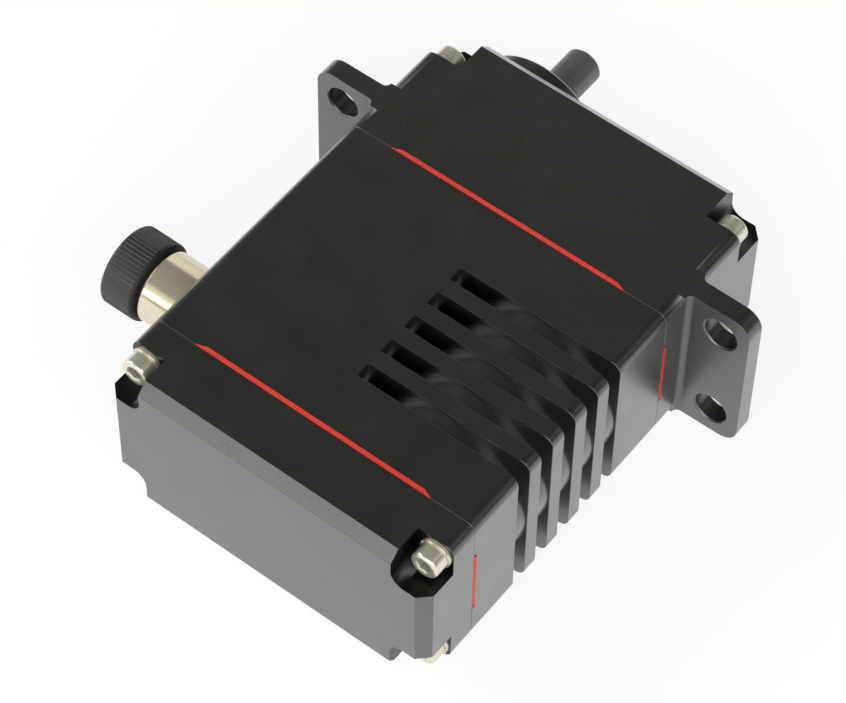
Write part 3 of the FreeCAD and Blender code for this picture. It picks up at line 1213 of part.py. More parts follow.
make_rear_cover()
make_centre_case()
make_output_cover()
make_seals()
make_corner_screws()
make_output_shaft()
make_bearings()
make_gears()
make_idler_axle()
make_motor()
make_electronics()
make_connector()
make_cap()
check_and_export()
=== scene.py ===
"""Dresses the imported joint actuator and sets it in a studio."""

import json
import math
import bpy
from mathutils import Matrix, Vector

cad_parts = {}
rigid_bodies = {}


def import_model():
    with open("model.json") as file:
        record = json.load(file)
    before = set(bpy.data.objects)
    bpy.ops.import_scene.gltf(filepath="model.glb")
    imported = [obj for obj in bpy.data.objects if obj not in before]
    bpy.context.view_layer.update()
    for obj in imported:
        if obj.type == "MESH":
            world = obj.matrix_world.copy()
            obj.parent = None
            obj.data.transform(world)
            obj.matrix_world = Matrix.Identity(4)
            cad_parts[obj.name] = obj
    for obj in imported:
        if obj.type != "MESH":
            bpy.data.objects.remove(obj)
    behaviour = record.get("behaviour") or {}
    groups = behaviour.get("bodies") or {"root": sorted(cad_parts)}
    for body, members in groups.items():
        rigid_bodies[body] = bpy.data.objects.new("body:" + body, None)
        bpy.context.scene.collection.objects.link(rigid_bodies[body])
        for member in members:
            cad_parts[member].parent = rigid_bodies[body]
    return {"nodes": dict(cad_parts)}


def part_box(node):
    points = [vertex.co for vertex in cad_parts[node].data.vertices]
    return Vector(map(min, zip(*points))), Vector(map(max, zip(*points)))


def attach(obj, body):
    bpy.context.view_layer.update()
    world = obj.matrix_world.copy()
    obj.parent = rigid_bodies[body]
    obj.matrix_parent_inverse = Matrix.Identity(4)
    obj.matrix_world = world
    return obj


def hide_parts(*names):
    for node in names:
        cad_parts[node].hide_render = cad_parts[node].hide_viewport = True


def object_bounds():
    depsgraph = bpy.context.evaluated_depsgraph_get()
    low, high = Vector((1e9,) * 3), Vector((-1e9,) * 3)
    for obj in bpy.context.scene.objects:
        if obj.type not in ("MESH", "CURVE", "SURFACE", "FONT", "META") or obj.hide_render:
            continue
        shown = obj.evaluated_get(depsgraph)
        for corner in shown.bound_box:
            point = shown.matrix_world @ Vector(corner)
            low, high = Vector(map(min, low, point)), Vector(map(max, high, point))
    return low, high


bl_info = {
    "name": "Joint actuator",
    "version": (1, 0, 0),
    "blender": (4, 5, 0),
    "location": "3D View > Sidebar > Actuator",
    "description": "Finishes a geared joint actuator and sets it in a pale studio",
    "category": "Object",
}

import bmesh
import bpy
from bpy.props import FloatProperty, FloatVectorProperty, IntProperty, PointerProperty
from mathutils import Euler, Vector

for leftover in list(bpy.data.objects):
    bpy.data.objects.remove(leftover)

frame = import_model()
CAD_BOX = [list(corner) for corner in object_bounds()]

MM = 0.001
ACROSS, ALONG, UP = Vector((1, 0, 0)), Vector((0, 1, 0)), Vector((0, 0, 1))


# ------------------------------------------------
# Sizes and colours that a user may change
# ------------------------------------------------

def length_property(label, note, default):
    """A size in metres."""
    return FloatProperty(name=label, description=note, default=default, min=0.0,
                         subtype="DISTANCE", unit="LENGTH", precision=6)


def colour_property(label, note, default):
    """A colour in linear light."""
    return FloatVectorProperty(name=label, description=note, default=default, size=3,
                               min=0.0, max=1.0, subtype="COLOR")


def share_property(label, note, default):
    """A share from none to all."""
    return FloatProperty(name=label, description=note, default=default, min=0.0, max=1.0,
                         subtype="FACTOR")


class HousingLook(bpy.types.PropertyGroup):
    """Black anodised sections and the red seals between them."""

    edge_round: length_property("Edge rounding", "Deburred edge of the sections", 0.06 * MM)
    grain: length_property("Grain", "Size of the blasted grain", 0.16 * MM)
    # Lighter edges: partly bare metal rubbed through, partly a painted glint
    wear: share_property("Wear", "Bare metal along the edges", 0.22)
    colour: colour_property("Anodising", "Colour of the sections", (0.108, 0.109, 0.114))
    # Colour of the rubbed edges, which also stands in for the glint of light on them
    edge_wear_glint_colour: colour_property("Worn edge", "Metal under the anodising", (0.42, 0.41, 0.37))
    roughness: share_property("Roughness", "Gloss of the sections", 0.32)
    seal_colour: colour_property("Seal", "Colour of the seals", (0.93, 0.045, 0.03))
    seal_swell: length_property("Seal swell", "How far a seal swells from its groove", 0.075 * MM)
    notch: length_property("Notch", "Side of a corner notch", 6.0 * MM)
    notch_rounding: length_property("Notch rounding", "Inner rounding of a notch", 2.2 * MM)
    # Painted shade: how much darker the colour is made inside the corner notches
    notch_painted_shade: share_property("Notch painted shade", "Deeper black in the corner notches", 0.78)


class HardwareLook(bpy.types.PropertyGroup):
    """Screws, washers, shaft, bearings and gears."""

    head_ripples: IntProperty(name="Head knurl", description="Knurls round a screw head",
                              default=36, min=12, max=60)
    head_width: length_property("Head width", "Width of a screw head", 4.5 * MM)
    head_height: length_property("Head height", "Height of a screw head", 2.5 * MM)
    shank_width: length_property("Shank", "Width of a screw's shank", 2.5 * MM)
    socket_width: length_property("Socket", "Width of the hexagon socket", 2.0 * MM)
    socket_depth: length_property("Socket depth", "Depth of the hexagon socket", 1.4 * MM)
    socket_mouth: length_property("Socket mouth", "Width of the socket's bevelled mouth", 2.6 * MM)
    turn_step: FloatProperty(name="Turn step", description="Turn from one fastener to the next",
                             default=0.2, subtype="ANGLE", unit="ROTATION")
    washer_width: length_property("Washer", "Width of a split washer", 5.0 * MM)
    washer_bore: length_property("Washer bore", "Width of a washer's hole", 2.8 * MM)
    screw_colour: colour_property("Screws", "Stainless steel", (0.86, 0.81, 0.69))
    shaft_colour: colour_property("Shaft", "Dark ground steel", (0.20, 0.19, 0.175))
    gear_colour: colour_property("Gears", "Machined steel", (0.50, 0.50, 0.51))


class ConnectorLook(bpy.types.PropertyGroup):
    """Round connector with its knurled cap."""

    rib_count: IntProperty(name="Ribs", description="Ribs round the cap", default=60,
                           min=20, max=120)
    rib_height: length_property("Rib height", "Height of a rib", 0.10 * MM)
    rim: length_property("Rim", "Rounding of the cap's rim", 0.5 * MM)
    collar: length_property("Collar", "Smooth black ring at the cap's open end", 1.05 * MM)
    barrel_colour: colour_property("Barrel", "Nickel-plated brass", (0.88, 0.81, 0.63))
    cap_colour: colour_property("Cap", "Black cap", (0.022, 0.021, 0.020))


class StudioLook(bpy.types.PropertyGroup):
    """Floor, light and camera."""

    floor_colour: colour_property("Floor", "Colour of the floor", (0.28, 0.28, 0.28))
    floor_glow: FloatProperty(name="Floor glow", description="White added to the floor",
                              default=0.79, min=0.0)
    camera_place: FloatVectorProperty(name="Camera", description="Place of the camera",
                                      default=(0.192879, -0.286062, 0.422381),
                                      subtype="TRANSLATION", unit="LENGTH", precision=6)
    camera_turn: FloatVectorProperty(name="Camera turn", description="Rotation of the camera",
                                     default=tuple(math.radians(angle) for angle in
                                                   (35.344561, -0.684805, 37.758407)),
                                     subtype="EULER", unit="ROTATION", precision=6)
    lens: FloatProperty(name="Lens", description="Focal length on a 36 mm sensor",
                        default=154.5635, min=10.0, unit="CAMERA")
    key: FloatProperty(name="Key light", description="Strength of the front softbox",
                       default=6.0, min=0.0, unit="POWER")
    fill: FloatProperty(name="Fill light", description="Strength of the other softboxes",
                        default=5.5, min=0.0, unit="POWER")
    backdrop: colour_property("Backdrop", "Surround at the level of the floor", (1.0, 1.0, 1.0))
    walls: colour_property("Walls", "Surround above the backdrop", (0.070, 0.070, 0.058))


# Lit patches of the studio's walls: heading, half width and lowest and highest angle in degrees,
# and colour
WALL_LIGHTS = {"lower_window": (-112.0, 11.0, 10.0, 25.0, (3.2, 3.1, 2.8)),
               "upper_window": (-114.0, 22.0, 25.0, 40.0, (0.80, 0.80, 0.60)),
               "back_wall": (110.0, 20.0, 4.0, 39.0, (0.92, 0.90, 0.78)),
               "right_wall": (35.0, 35.0, 26.0, 44.0, (0.34, 0.34, 0.27))}
PATCH_EDGE = 4.0  # degrees over which a lit patch fades
BACKDROP_TOP = (0.02, 0.06)  # sines of the angles between which the backdrop turns into walls
FLOOR_REACH = 6.0  # metres from the object to the floor's edge

# Roundings in millimetres: steps along a turned piece from its end, and steps inwards
HEAD_FOOT = ((0.0, 0.10), (0.10, 0.02))
HEAD_CROWN = ((0.35, 0.02), (0.18, 0.07), (0.05, 0.20), (0.0, 0.36))
COLLAR_LIP = ((0.0, 0.55), (0.14, 0.25), (0.38, 0.03))
# The same for the cap's rim, but with the first step as a share of the rim's length
CAP_RIM = ((1.0, 0.0), (0.6, 0.03), (0.25, 0.15), (0.0, 0.40))


# ------------------------------------------------
# Node trees
# ------------------------------------------------

def add(tree, kind, feeds=None, **settings):
    """A node with its settings, its inputs either linked or set."""
    node = tree.nodes.new(kind)
    for key, value in settings.items():
        setattr(node, key, value)
    for key, value in (feeds or {}).items():
        socket = node.inputs[key]
        if isinstance(value, bpy.types.NodeSocket):
            tree.links.new(value, socket)
        else:
            socket.default_value = value
    return node


def maths(tree, operation, first, second=0.0, **settings):
    """The result of one operation on two values."""
    node = add(tree, "ShaderNodeMath", {0: first, 1: second}, operation=operation, **settings)
    return node.outputs[0]


def vector_maths(tree, operation, first, second=(0.0, 0.0, 0.0), output="Vector"):
    """The vector or the value that one operation on two vectors gives."""
    node = add(tree, "ShaderNodeVectorMath", {0: first, 1: second}, operation=operation)
    return node.outputs[output]


def scaled(tree, colour, share):
    """A colour times a value."""
    node = add(tree, "ShaderNodeVectorMath", {0: colour, "Scale": share}, operation="SCALE")
    return node.outputs[0]


def ramp(tree, source, low, high, to_low=0.0, to_high=1.0, smooth=False):
    """Maps low..high of a value onto to_low..to_high."""
    node = add(tree, "ShaderNodeMapRange", {"Value": source, "From Min": low, "From Max": high,
                                            "To Min": to_low, "To Max": to_high})
    node.interpolation_type = "SMOOTHSTEP" if smooth else "LINEAR"
    return node.outputs["Result"]


def blend_colours(tree, share, first, second):
    """Goes from the first colour to the second as the share grows."""
    colours = [value if isinstance(value, bpy.types.NodeSocket) else (*value, 1.0)
               for value in (first, second)]
    # The mix node has sockets for every kind of data: 6, 7 and output 2 are the colour ones
    node = add(tree, "ShaderNodeMix", {0: share, 6: colours[0], 7: colours[1]}, data_type="RGBA")
    return node.outputs[2]


def new_group(name, inputs, outputs):
    """An empty shader node group with named sockets."""
    tree = bpy.data.node_groups.new(name, "ShaderNodeTree")
    for label, kind, default in inputs:
        socket = tree.interface.new_socket(label, in_out="INPUT", socket_type=kind)
        socket.default_value = default
    for label, kind in outputs:
        tree.interface.new_socket(label, in_out="OUTPUT", socket_type=kind)
    return tree, tree.nodes.new("NodeGroupInput"), tree.nodes.new("NodeGroupOutput")


def position(tree):
    """Place on the object, in metres."""
    return tree.nodes.new("ShaderNodeTexCoord").outputs["Object"]


def group_grain():
    """Fine blasted grain with a cloudy drift under it."""
    tree, given, result = new_group(
        "Blasted grain", [("Size", "NodeSocketFloat", 0.0002), ("Cloud", "NodeSocketFloat", 0.006)],
        [("Height", "NodeSocketFloat"), ("Tone", "NodeSocketFloat"), ("Haze", "NodeSocketFloat")])
    where = position(tree)
    fine = maths(tree, "DIVIDE", 1.0, given.outputs["Size"])
    grain = add(tree, "ShaderNodeTexNoise", {"Vector": where, "Scale": fine, "Detail": 3.0,
                                             "Roughness": 0.65})
    cloud = maths(tree, "DIVIDE", 1.0, given.outputs["Cloud"])
    drift = add(tree, "ShaderNodeTexNoise", {"Vector": where, "Scale": cloud, "Detail": 4.0})
    tree.links.new(grain.outputs[0], result.inputs["Height"])
    speck = ramp(tree, grain.outputs[0], 0.3, 0.7, 0.75, 1.25)
    tree.links.new(speck, result.inputs["Tone"])
    tree.links.new(ramp(tree, drift.outputs[0], 0.3, 0.7, -1.0, 1.0), result.inputs["Haze"])
    return tree


def group_wear_and_glint():
    """Where an edge is rubbed bare and gets a painted glint: the difference between the surface and
    its rounded edges.
    """
    tree, given, result = new_group(
        "Rubbed edges and painted glints", [("Width", "NodeSocketFloat", 0.0002), ("Amount", "NodeSocketFloat", 0.5),
                         ("Patch", "NodeSocketFloat", 0.003)],
        [("Mask", "NodeSocketFloat"), ("Normal", "NodeSocketVector")])
    rounded = add(tree, "ShaderNodeBevel", {"Radius": given.outputs["Width"]}, samples=6)
    surface = tree.nodes.new("ShaderNodeNewGeometry").outputs["Normal"]
    turn = vector_maths(tree, "DOT_PRODUCT", rounded.outputs[0], surface, output="Value")
    edge = ramp(tree, turn, 0.99, 0.85, smooth=True)
    scale = maths(tree, "DIVIDE", 1.0, given.outputs["Patch"])
    patch = add(tree, "ShaderNodeTexNoise", {"Vector": position(tree), "Scale": scale,
                                             "Detail": 6.0, "Roughness": 0.7})
    broken = ramp(tree, patch.outputs[0], 0.35, 0.6, 0.25, 1.0)
    mask = maths(tree, "MULTIPLY", edge, broken)
    mask = maths(tree, "MULTIPLY", mask, given.outputs["Amount"])
    tree.links.new(mask, result.inputs["Mask"])
    tree.links.new(rounded.outputs[0], result.inputs["Normal"])
    return tree


def group_tool_marks():
    """Fine marks that a cutter or grinder leaves at right angles to a direction."""
    tree, given, result = new_group(
        "Tool marks", [("Direction", "NodeSocketVector", (0.0, 1.0, 0.0)),
                       ("Spacing", "NodeSocketFloat", 0.0001)],
        [("Height", "NodeSocketFloat"), ("Tone", "NodeSocketFloat")])
    where = position(tree)
    along = vector_maths(tree, "DOT_PRODUCT", where, given.outputs["Direction"], output="Value")
    steps = maths(tree, "DIVIDE", along, given.outputs["Spacing"])
    waver = add(tree, "ShaderNodeTexNoise", {"Vector": where, "Scale": 180.0, "Detail": 2.0})
    steps = maths(tree, "ADD", steps, maths(tree, "MULTIPLY", waver.outputs[0], 1.5))
    marks = add(tree, "ShaderNodeTexNoise", {"W": steps, "Scale": 1.0, "Detail": 3.0},
                noise_dimensions="1D")
    tree.links.new(marks.outputs[0], result.inputs["Height"])
    tree.links.new(ramp(tree, marks.outputs[0], 0.3, 0.7, 0.82, 1.12), result.inputs["Tone"])
    return tree


def group_stripes():
    """Regular stripes along a direction: laminations, wire turns or board tracks."""
    tree, given, result = new_group(
        "Stripes", [("Direction", "NodeSocketVector", (0.0, 1.0, 0.0)),
                    ("Pitch", "NodeSocketFloat", 0.0005), ("Share", "NodeSocketFloat", 0.5)],
        [("Mask", "NodeSocketFloat"), ("Height", "NodeSocketFloat")])
    along = vector_maths(tree, "DOT_PRODUCT", position(tree), given.outputs["Direction"],
                         output="Value")
    steps = maths(tree, "DIVIDE", along, given.outputs["Pitch"])
    wave = maths(tree, "MULTIPLY", maths(tree, "PINGPONG", steps, 0.5), 2.0)
    tree.links.new(maths(tree, "GREATER_THAN", wave, given.outputs["Share"]), result.inputs["Mask"])
    tree.links.new(wave, result.inputs["Height"])
    return tree


def group_painted_recess_shade():
    """Painted shade in notches and slots: a share that darkens the colour where the surface is
    hemmed in.
    """
    tree, given, result = new_group(
        "Painted recess shade", [("Reach", "NodeSocketFloat", 0.003), ("Amount", "NodeSocketFloat", 0.5)],
        [("Keep", "NodeSocketFloat")])
    # Ambient occlusion sets how much painted shade a place gets
    hidden = add(tree, "ShaderNodeAmbientOcclusion", {"Distance": given.outputs["Reach"]},
                 samples=6, only_local=True)
    open_share = ramp(tree, hidden.outputs["AO"], 0.35, 0.95, smooth=True)
    closed = maths(tree, "SUBTRACT", 1.0, open_share)
    lost = maths(tree, "MULTIPLY", closed, given.outputs["Amount"])
    tree.links.new(maths(tree, "SUBTRACT", 1.0, lost, use_clamp=True), result.inputs["Keep"])
    return tree


GROUPS = {"painted_shade": group_painted_recess_shade(), "grain": group_grain(), "wear": group_wear_and_glint(),
          "marks": group_tool_marks(), "stripes": group_stripes()}


def use_group(tree, name, **values):
    """Places a group in a material with its own values."""
    node = tree.nodes.new("ShaderNodeGroup")
    node.node_tree = GROUPS[name]
    for key, value in values.items():
        node.inputs[key.replace("_", " ").capitalize()].default_value = value
    return node.outputs


# ------------------------------------------------
# Finishes
# ------------------------------------------------

def notch_unshaded(tree, look):
    """What the sections keep of their colour inside a corner notch, where painted shade darkens it.
    """
    margin = 0.03 * MM
    low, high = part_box("rear_cover")
    low.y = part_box("rear_washers")[1].y + margin
    high.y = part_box("front_washers")[0].y - margin
    place = vector_maths(tree, "SUBTRACT", position(tree), (low + high) / 2)
    place = vector_maths(tree, "ABSOLUTE", place)
    half = (high - low) / 2
    straight = look.notch - look.notch_rounding
    core = (half.x - straight, 0.0, half.z - straight)
    excess = vector_maths(tree, "MAXIMUM", vector_maths(tree, "SUBTRACT", core, place))
    reach = vector_maths(tree, "LENGTH", excess, output="Value")
    cut = maths(tree, "LESS_THAN", reach, look.notch_rounding + margin)
    past = add(tree, "ShaderNodeSeparateXYZ", {0: place}).outputs["Y"]
    inside = maths(tree, "MULTIPLY", cut, maths(tree, "GREATER_THAN", past, half.y))
    return maths(tree, "SUBTRACT", 1.0, maths(tree, "MULTIPLY", inside, look.notch_painted_shade))


def finish(name, colour, roughness, metallic=0.0, worn=None, wear=0.0, wear_width=0.18 * MM,
           grain=0.2 * MM, relief=0.02 * MM, haze=0.05, marks=None, mark_relief=0.0,
           stripes=None, stripe_colour=None, round_edges=True, recess_shade=0.0, film_reach=3.0 * MM,
           notches=None, **plain):
    """A complete material: colour with grain, rubbed edges with a painted glint, tool marks, uneven
    gloss and painted shade in recesses and notches.
    """
    material = bpy.data.materials.new(name)
    material.use_nodes = True
    tree = material.node_tree
    tree.nodes.clear()
    output = tree.nodes.new("ShaderNodeOutputMaterial")
    shader = tree.nodes.new("ShaderNodeBsdfPrincipled")
    tree.links.new(shader.outputs[0], output.inputs["Surface"])
    for socket, value in plain.items():
        shader.inputs[socket.replace("_", " ").title().replace("Ior", "IOR")].default_value = value
    texture = use_group(tree, "grain", size=grain)
    tone = texture["Tone"]
    height = maths(tree, "MULTIPLY", texture["Height"], relief)
    if marks:
        direction, spacing = marks
        lines = use_group(tree, "marks", direction=direction, spacing=spacing)
        tone = maths(tree, "MULTIPLY", tone, lines["Tone"])
        height = maths(tree, "ADD", height, maths(tree, "MULTIPLY", lines["Height"], mark_relief))
    if stripes:
        direction, pitch, share = stripes
        bands = use_group(tree, "stripes", direction=direction, pitch=pitch, share=share)
        colour = blend_colours(tree, bands["Mask"], colour, stripe_colour)
        depth = 0.3 * pitch
        height = maths(tree, "ADD", height, maths(tree, "MULTIPLY", bands["Height"], depth))
    base = scaled(tree, colour, tone)
    edges = use_group(tree, "wear", width=wear_width, amount=wear)
    # Lighter edges: rubbed bare metal and a painted glint
    if worn:
        base = blend_colours(tree, edges["Mask"], base, worn)
    # Painted shade in recesses and notches darkens the colour and the coat's reflection
    if recess_shade:
        unshaded = use_group(tree, "painted_shade", reach=film_reach, amount=recess_shade)["Keep"]
        if notches:
            unshaded = maths(tree, "MULTIPLY", unshaded, notch_unshaded(tree, notches))
        base = scaled(tree, base, unshaded)
        coat = maths(tree, "MULTIPLY", unshaded, plain.get("coat_weight", 0.0))
        tree.links.new(coat, shader.inputs["Coat Weight"])
    tree.links.new(base, shader.inputs["Base Color"])
    shader.inputs["Metallic"].default_value = metallic
    uneven = maths(tree, "MULTIPLY", texture["Haze"], haze)
    gloss = maths(tree, "ADD", uneven, roughness, use_clamp=True)
    tree.links.new(gloss, shader.inputs["Roughness"])
    bump = add(tree, "ShaderNodeBump", {"Height": height, "Distance": 1.0, "Strength": 1.0})
    if round_edges:
        tree.links.new(edges["Normal"], bump.inputs["Normal"])
    tree.links.new(bump.outputs[0], shader.inputs["Normal"])
    return material


def make_finishes(scene):
    """Every material of the actuator, by the record's slot names."""
    housing, hardware, plug = scene.actuator_housing, scene.actuator_hardware, scene.actuator_plug
    shaft_lines = (tuple(ALONG), 0.09 * MM)
    plug_lines = (tuple(ACROSS), 0.10 * MM)
    steel = dict(metallic=1.0, worn=(0.8, 0.8, 0.8), wear=0.4, grain=0.12 * MM, relief=0.004 * MM)
    return {
        "housing_black": finish(
            "Black anodised aluminium", tuple(housing.colour), housing.roughness, metallic=0.93,
            worn=tuple(housing.edge_wear_glint_colour), wear=housing.wear, wear_width=0.08 * MM,
            # Painted shade darkens the slots and corner notches
            grain=housing.grain, relief=0.010 * MM, haze=0.03, recess_shade=0.5, film_reach=3.0 * MM,
            notches=housing, coat_weight=0.85, coat_roughness=0.30, coat_ior=1.5),
        "seal_red": finish("Red silicone", tuple(housing.seal_colour), 0.5, relief=0.004 * MM,
                           grain=0.25 * MM, round_edges=False),
        "shaft_seal_rubber": finish("Black rubber", (0.010, 0.010, 0.010), 0.6, relief=0.01 * MM),
        "stainless": finish("Stainless steel", tuple(hardware.screw_colour), 0.25,
                            # Painted shade darkens the screws' recesses
                            marks=shaft_lines, mark_relief=0.004 * MM, recess_shade=0.7,
                            film_reach=1.2 * MM, **dict(steel, metallic=0.68)),
        "shaft_steel": finish("Dark ground steel", tuple(hardware.shaft_colour), 0.38,
                              marks=shaft_lines, mark_relief=0.004 * MM,
                              **dict(steel, metallic=0.5)),
        "bearing_steel": finish("Bearing steel", (0.70, 0.70, 0.71), 0.16, **steel),
        "gear_steel": finish("Gear steel", tuple(hardware.gear_colour), 0.3,
                             marks=shaft_lines, mark_relief=0.012 * MM, **steel),
        "nickel_brass": finish("Nickel-plated brass", tuple(plug.barrel_colour), 0.17,
                               marks=plug_lines, mark_relief=0.003 * MM,
                               **dict(steel, metallic=0.62)),
        "cap_black": finish("Black cap", tuple(plug.cap_colour), 0.38, metallic=0.0,
                            worn=(0.30, 0.29, 0.27), wear=0.35, grain=0.15 * MM,
                            relief=0.01 * MM, coat_weight=0.35, coat_roughness=0.35),
        "insert_plastic": finish("Moulded insert", (0.03, 0.03, 0.03), 0.5),
        "contact_gold": finish("Gold contacts", (0.93, 0.68, 0.27), 0.2, metallic=1.0),
        "motor_steel": finish("Motor can steel", (0.55, 0.55, 0.56), 0.33,
                              marks=shaft_lines, mark_relief=0.010 * MM, **steel),
        "core_iron": finish("Laminated core", (0.22, 0.22, 0.23), 0.42, metallic=1.0,
                            stripes=(tuple(ALONG), 0.4 * MM, 0.25),
                            stripe_colour=(0.07, 0.07, 0.07)),
        "copper_winding": finish("Enamelled copper", (0.62, 0.25, 0.10), 0.3, metallic=1.0,
                                 stripes=((0.0, 0.82, 0.57), 0.3 * MM, 0.3),
                                 stripe_colour=(0.20, 0.06, 0.02), coat_weight=0.6),
        "magnet_nickel": finish("Nickel-plated magnet", (0.60, 0.59, 0.56), 0.22, **steel),
        "board_green": finish("Solder mask", (0.012, 0.10, 0.035), 0.35,
                              stripes=((0.7071, 0.7071, 0.0), 1.6 * MM, 0.75),
                              stripe_colour=(0.03, 0.19, 0.07), coat_weight=0.4),
        "chip_black": finish("Moulded chip", (0.018, 0.018, 0.02), 0.55, relief=0.015 * MM),
        "capacitor_can": finish("Capacitor can", (0.72, 0.72, 0.73), 0.3, **steel),
    }


# ------------------------------------------------
# Mesh helpers
# ------------------------------------------------

def new_piece(name, mesh, slot):
    """An object at the origin in one finish."""
    piece = bpy.data.objects.new(name, mesh)
    bpy.context.scene.collection.objects.link(piece)
    mesh.materials.clear()
    mesh.materials.append(finishes()[slot])
    return piece


def declare(piece, body, node):
    """Attaches a plain piece to the body it rides on and hides the CAD node it stands for."""
    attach(piece, body)
    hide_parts(node)


def finishes():
    """The materials, made once from the scene's settings."""
    if not hasattr(finishes, "made"):
        finishes.made = make_finishes(bpy.context.scene)
    return finishes.made


def settle(piece):
    """Turns a piece's modifiers into its plain mesh and removes them."""
    evaluated = piece.evaluated_get(bpy.context.evaluated_depsgraph_get())
    mesh = bpy.data.meshes.new_from_object(evaluated)
    piece.modifiers.clear()
    piece.data = mesh


def shade(mesh, angle=35.0):
    """Smooth faces that meet at less than an angle in degrees."""
    mesh.shade_smooth()
    mesh.set_sharp_from_angle(angle=math.radians(angle))


def merged_copy(node, grow=0.0, edge=0.0):
    """A copy of a CAD node's mesh with its triangles joined into whole faces."""
    mesh = frame["nodes"][node].data.copy()
    form = bmesh.new()
    form.from_mesh(mesh)
    bmesh.ops.remove_doubles(form, verts=form.verts, dist=0.002 * MM)
    bmesh.ops.dissolve_limit(form, angle_limit=math.radians(0.3), verts=form.verts,
                             edges=form.edges, use_dissolve_boundaries=False)
    form.normal_update()
    if grow:
        moved = [(corner, corner.normal * corner.calc_shell_factor() * grow)
                 for corner in form.verts]
        for corner, step in moved:
            corner.co += step
    if edge:
        mark_round_edges(form, edge)
    form.to_mesh(mesh)
    form.free()
    return mesh


def mark_round_edges(form, edge):
    """Marks the sharp outer edges that have room for a rounding at both ends."""
    weight = form.edges.layers.float.new("bevel_weight_edge")
    sharp_angle = math.radians(35)
    narrow = math.cos(math.radians(50))
    room = 3 * edge
    sharp = {side for side in form.edges
             if side.is_manifold and side.calc_face_angle(0.0) > sharp_angle}
    blocked = set()
    for corner in form.verts:
        meeting = [side for side in corner.link_edges if side in sharp]
        ways = [(side.other_vert(corner).co - corner.co).normalized() for side in meeting]
        tight = any(first.dot(second) > narrow for place, first in enumerate(ways)
                    for second in ways[place + 1:])
        mixed = len({side.is_convex for side in meeting}) > 1
        if tight or mixed or len(meeting) > 3:
            blocked.update(meeting)
    for side in sharp - blocked:
        if side.is_convex and side.calc_length() > room:
            side[weight] = 1.0


def dressed(node, slot, body, edge=0.0, grow=0.0):
    """A CAD node's shape with smooth curved faces and, where asked, rounded edges."""
    mesh = merged_copy(node, grow, edge)
    shade(mesh)
    piece = new_piece(f"{node}_finished", mesh, slot)
    if edge:
        bevel = piece.modifiers.new("edges", "BEVEL")
        bevel.width = edge
        bevel.segments = 2
        bevel.limit_method = "WEIGHT"
        bevel.use_clamp_overlap = False
    flatten = piece.modifiers.new("flat faces", "WEIGHTED_NORMAL")
    flatten.keep_sharp = True
    flatten.weight = 100
    settle(piece)
    declare(piece, body, node)


def turned_mesh(name, rings, centre, axis, sides):
    """A closed turned shape; each ring is a height with one radius or a radius at each side."""
    across = UP if abs(axis.z) < 0.5 else ACROSS
    across = (across - axis * across.dot(axis)).normalized()
    third = axis.cross(across)
    form = bmesh.new()
    rows = []
    for height, radius in rings:
        spread = radius if callable(radius) else (lambda angle, same=radius: same)
        if not callable(radius) and radius == 0:
            rows.append([form.verts.new(centre + axis * height)])
            continue
        row = []
        for side in range(sides):
            angle = 2 * math.pi * side / sides
            out = across * math.cos(angle) + third * math.sin(angle)
            row.append(form.verts.new(centre + axis * height + out * spread(angle)))
        rows.append(row)
    for low, high in zip(rows, rows[1:]):
        for side in range(sides):
            following = (side + 1) % sides
            corners = [low[side % len(low)], low[following % len(low)],
                       high[following % len(high)], high[side % len(high)]]
            form.faces.new(list(dict.fromkeys(corners)))
    bmesh.ops.remove_doubles(form, verts=form.verts, dist=0.0001 * MM)
    bmesh.ops.recalc_face_normals(form, faces=form.faces)
    mesh = bpy.data.meshes.new(name)
    form.to_mesh(mesh)
    form.free()
    shade(mesh)
    return mesh


def hexagon(width):
    """Radius of a hexagon's outline at an angle."""
    sixth = math.pi / 3
    return lambda angle: width / 2 / math.cos((angle % sixth) - sixth / 2)


# ------------------------------------------------
# Geometry Nodes trees
# ------------------------------------------------

def geometry_tree(name, inputs):
    """An empty Geometry Nodes tree with named inputs."""
    tree = bpy.data.node_groups.new(name, "GeometryNodeTree")
    tree.interface.new_socket("Geometry", in_out="INPUT", socket_type="NodeSocketGeometry")
    for label, kind in inputs:
        tree.interface.new_socket(label, in_out="INPUT", socket_type=kind)
    tree.interface.new_socket("Geometry", in_out="OUTPUT", socket_type="NodeSocketGeometry")
    return tree, tree.nodes.new("NodeGroupInput").outputs, tree.nodes.new("NodeGroupOutput")


def close_tree(tree, geometry, given, result):
    """Ends a tree with real geometry in one material."""
    real = add(tree, "GeometryNodeRealizeInstances", {"Geometry": geometry})
    painted = add(tree, "GeometryNodeSetMaterial", {"Geometry": real.outputs[0],
                                                    "Material": given["Material"]})
    tree.links.new(painted.outputs[0], result.inputs[0])


def tree_fasteners():
    """Sets a copy of one fastener at each point of the mesh, each turned a little further."""
    tree, given, result = geometry_tree("Fasteners at points", [
        ("Fastener", "NodeSocketObject"), ("Facing", "NodeSocketFloat"),
        ("Turn step", "NodeSocketFloat"), ("Material", "NodeSocketMaterial")])
    fastener = add(tree, "GeometryNodeObjectInfo", {"Object": given["Fastener"]})
    points = add(tree, "GeometryNodeMeshToPoints", {"Mesh": given["Geometry"]})
    index = tree.nodes.new("GeometryNodeInputIndex").outputs[0]
    spin = maths(tree, "MULTIPLY", index, given["Turn step"])
    turn = add(tree, "ShaderNodeCombineXYZ", {"X": given["Facing"], "Y": spin})
    copies = add(tree, "GeometryNodeInstanceOnPoints",
                 {"Points": points.outputs[0], "Instance": fastener.outputs["Geometry"],
                  "Rotation": turn.outputs[0]})
    close_tree(tree, copies.outputs[0], given, result)
    return tree


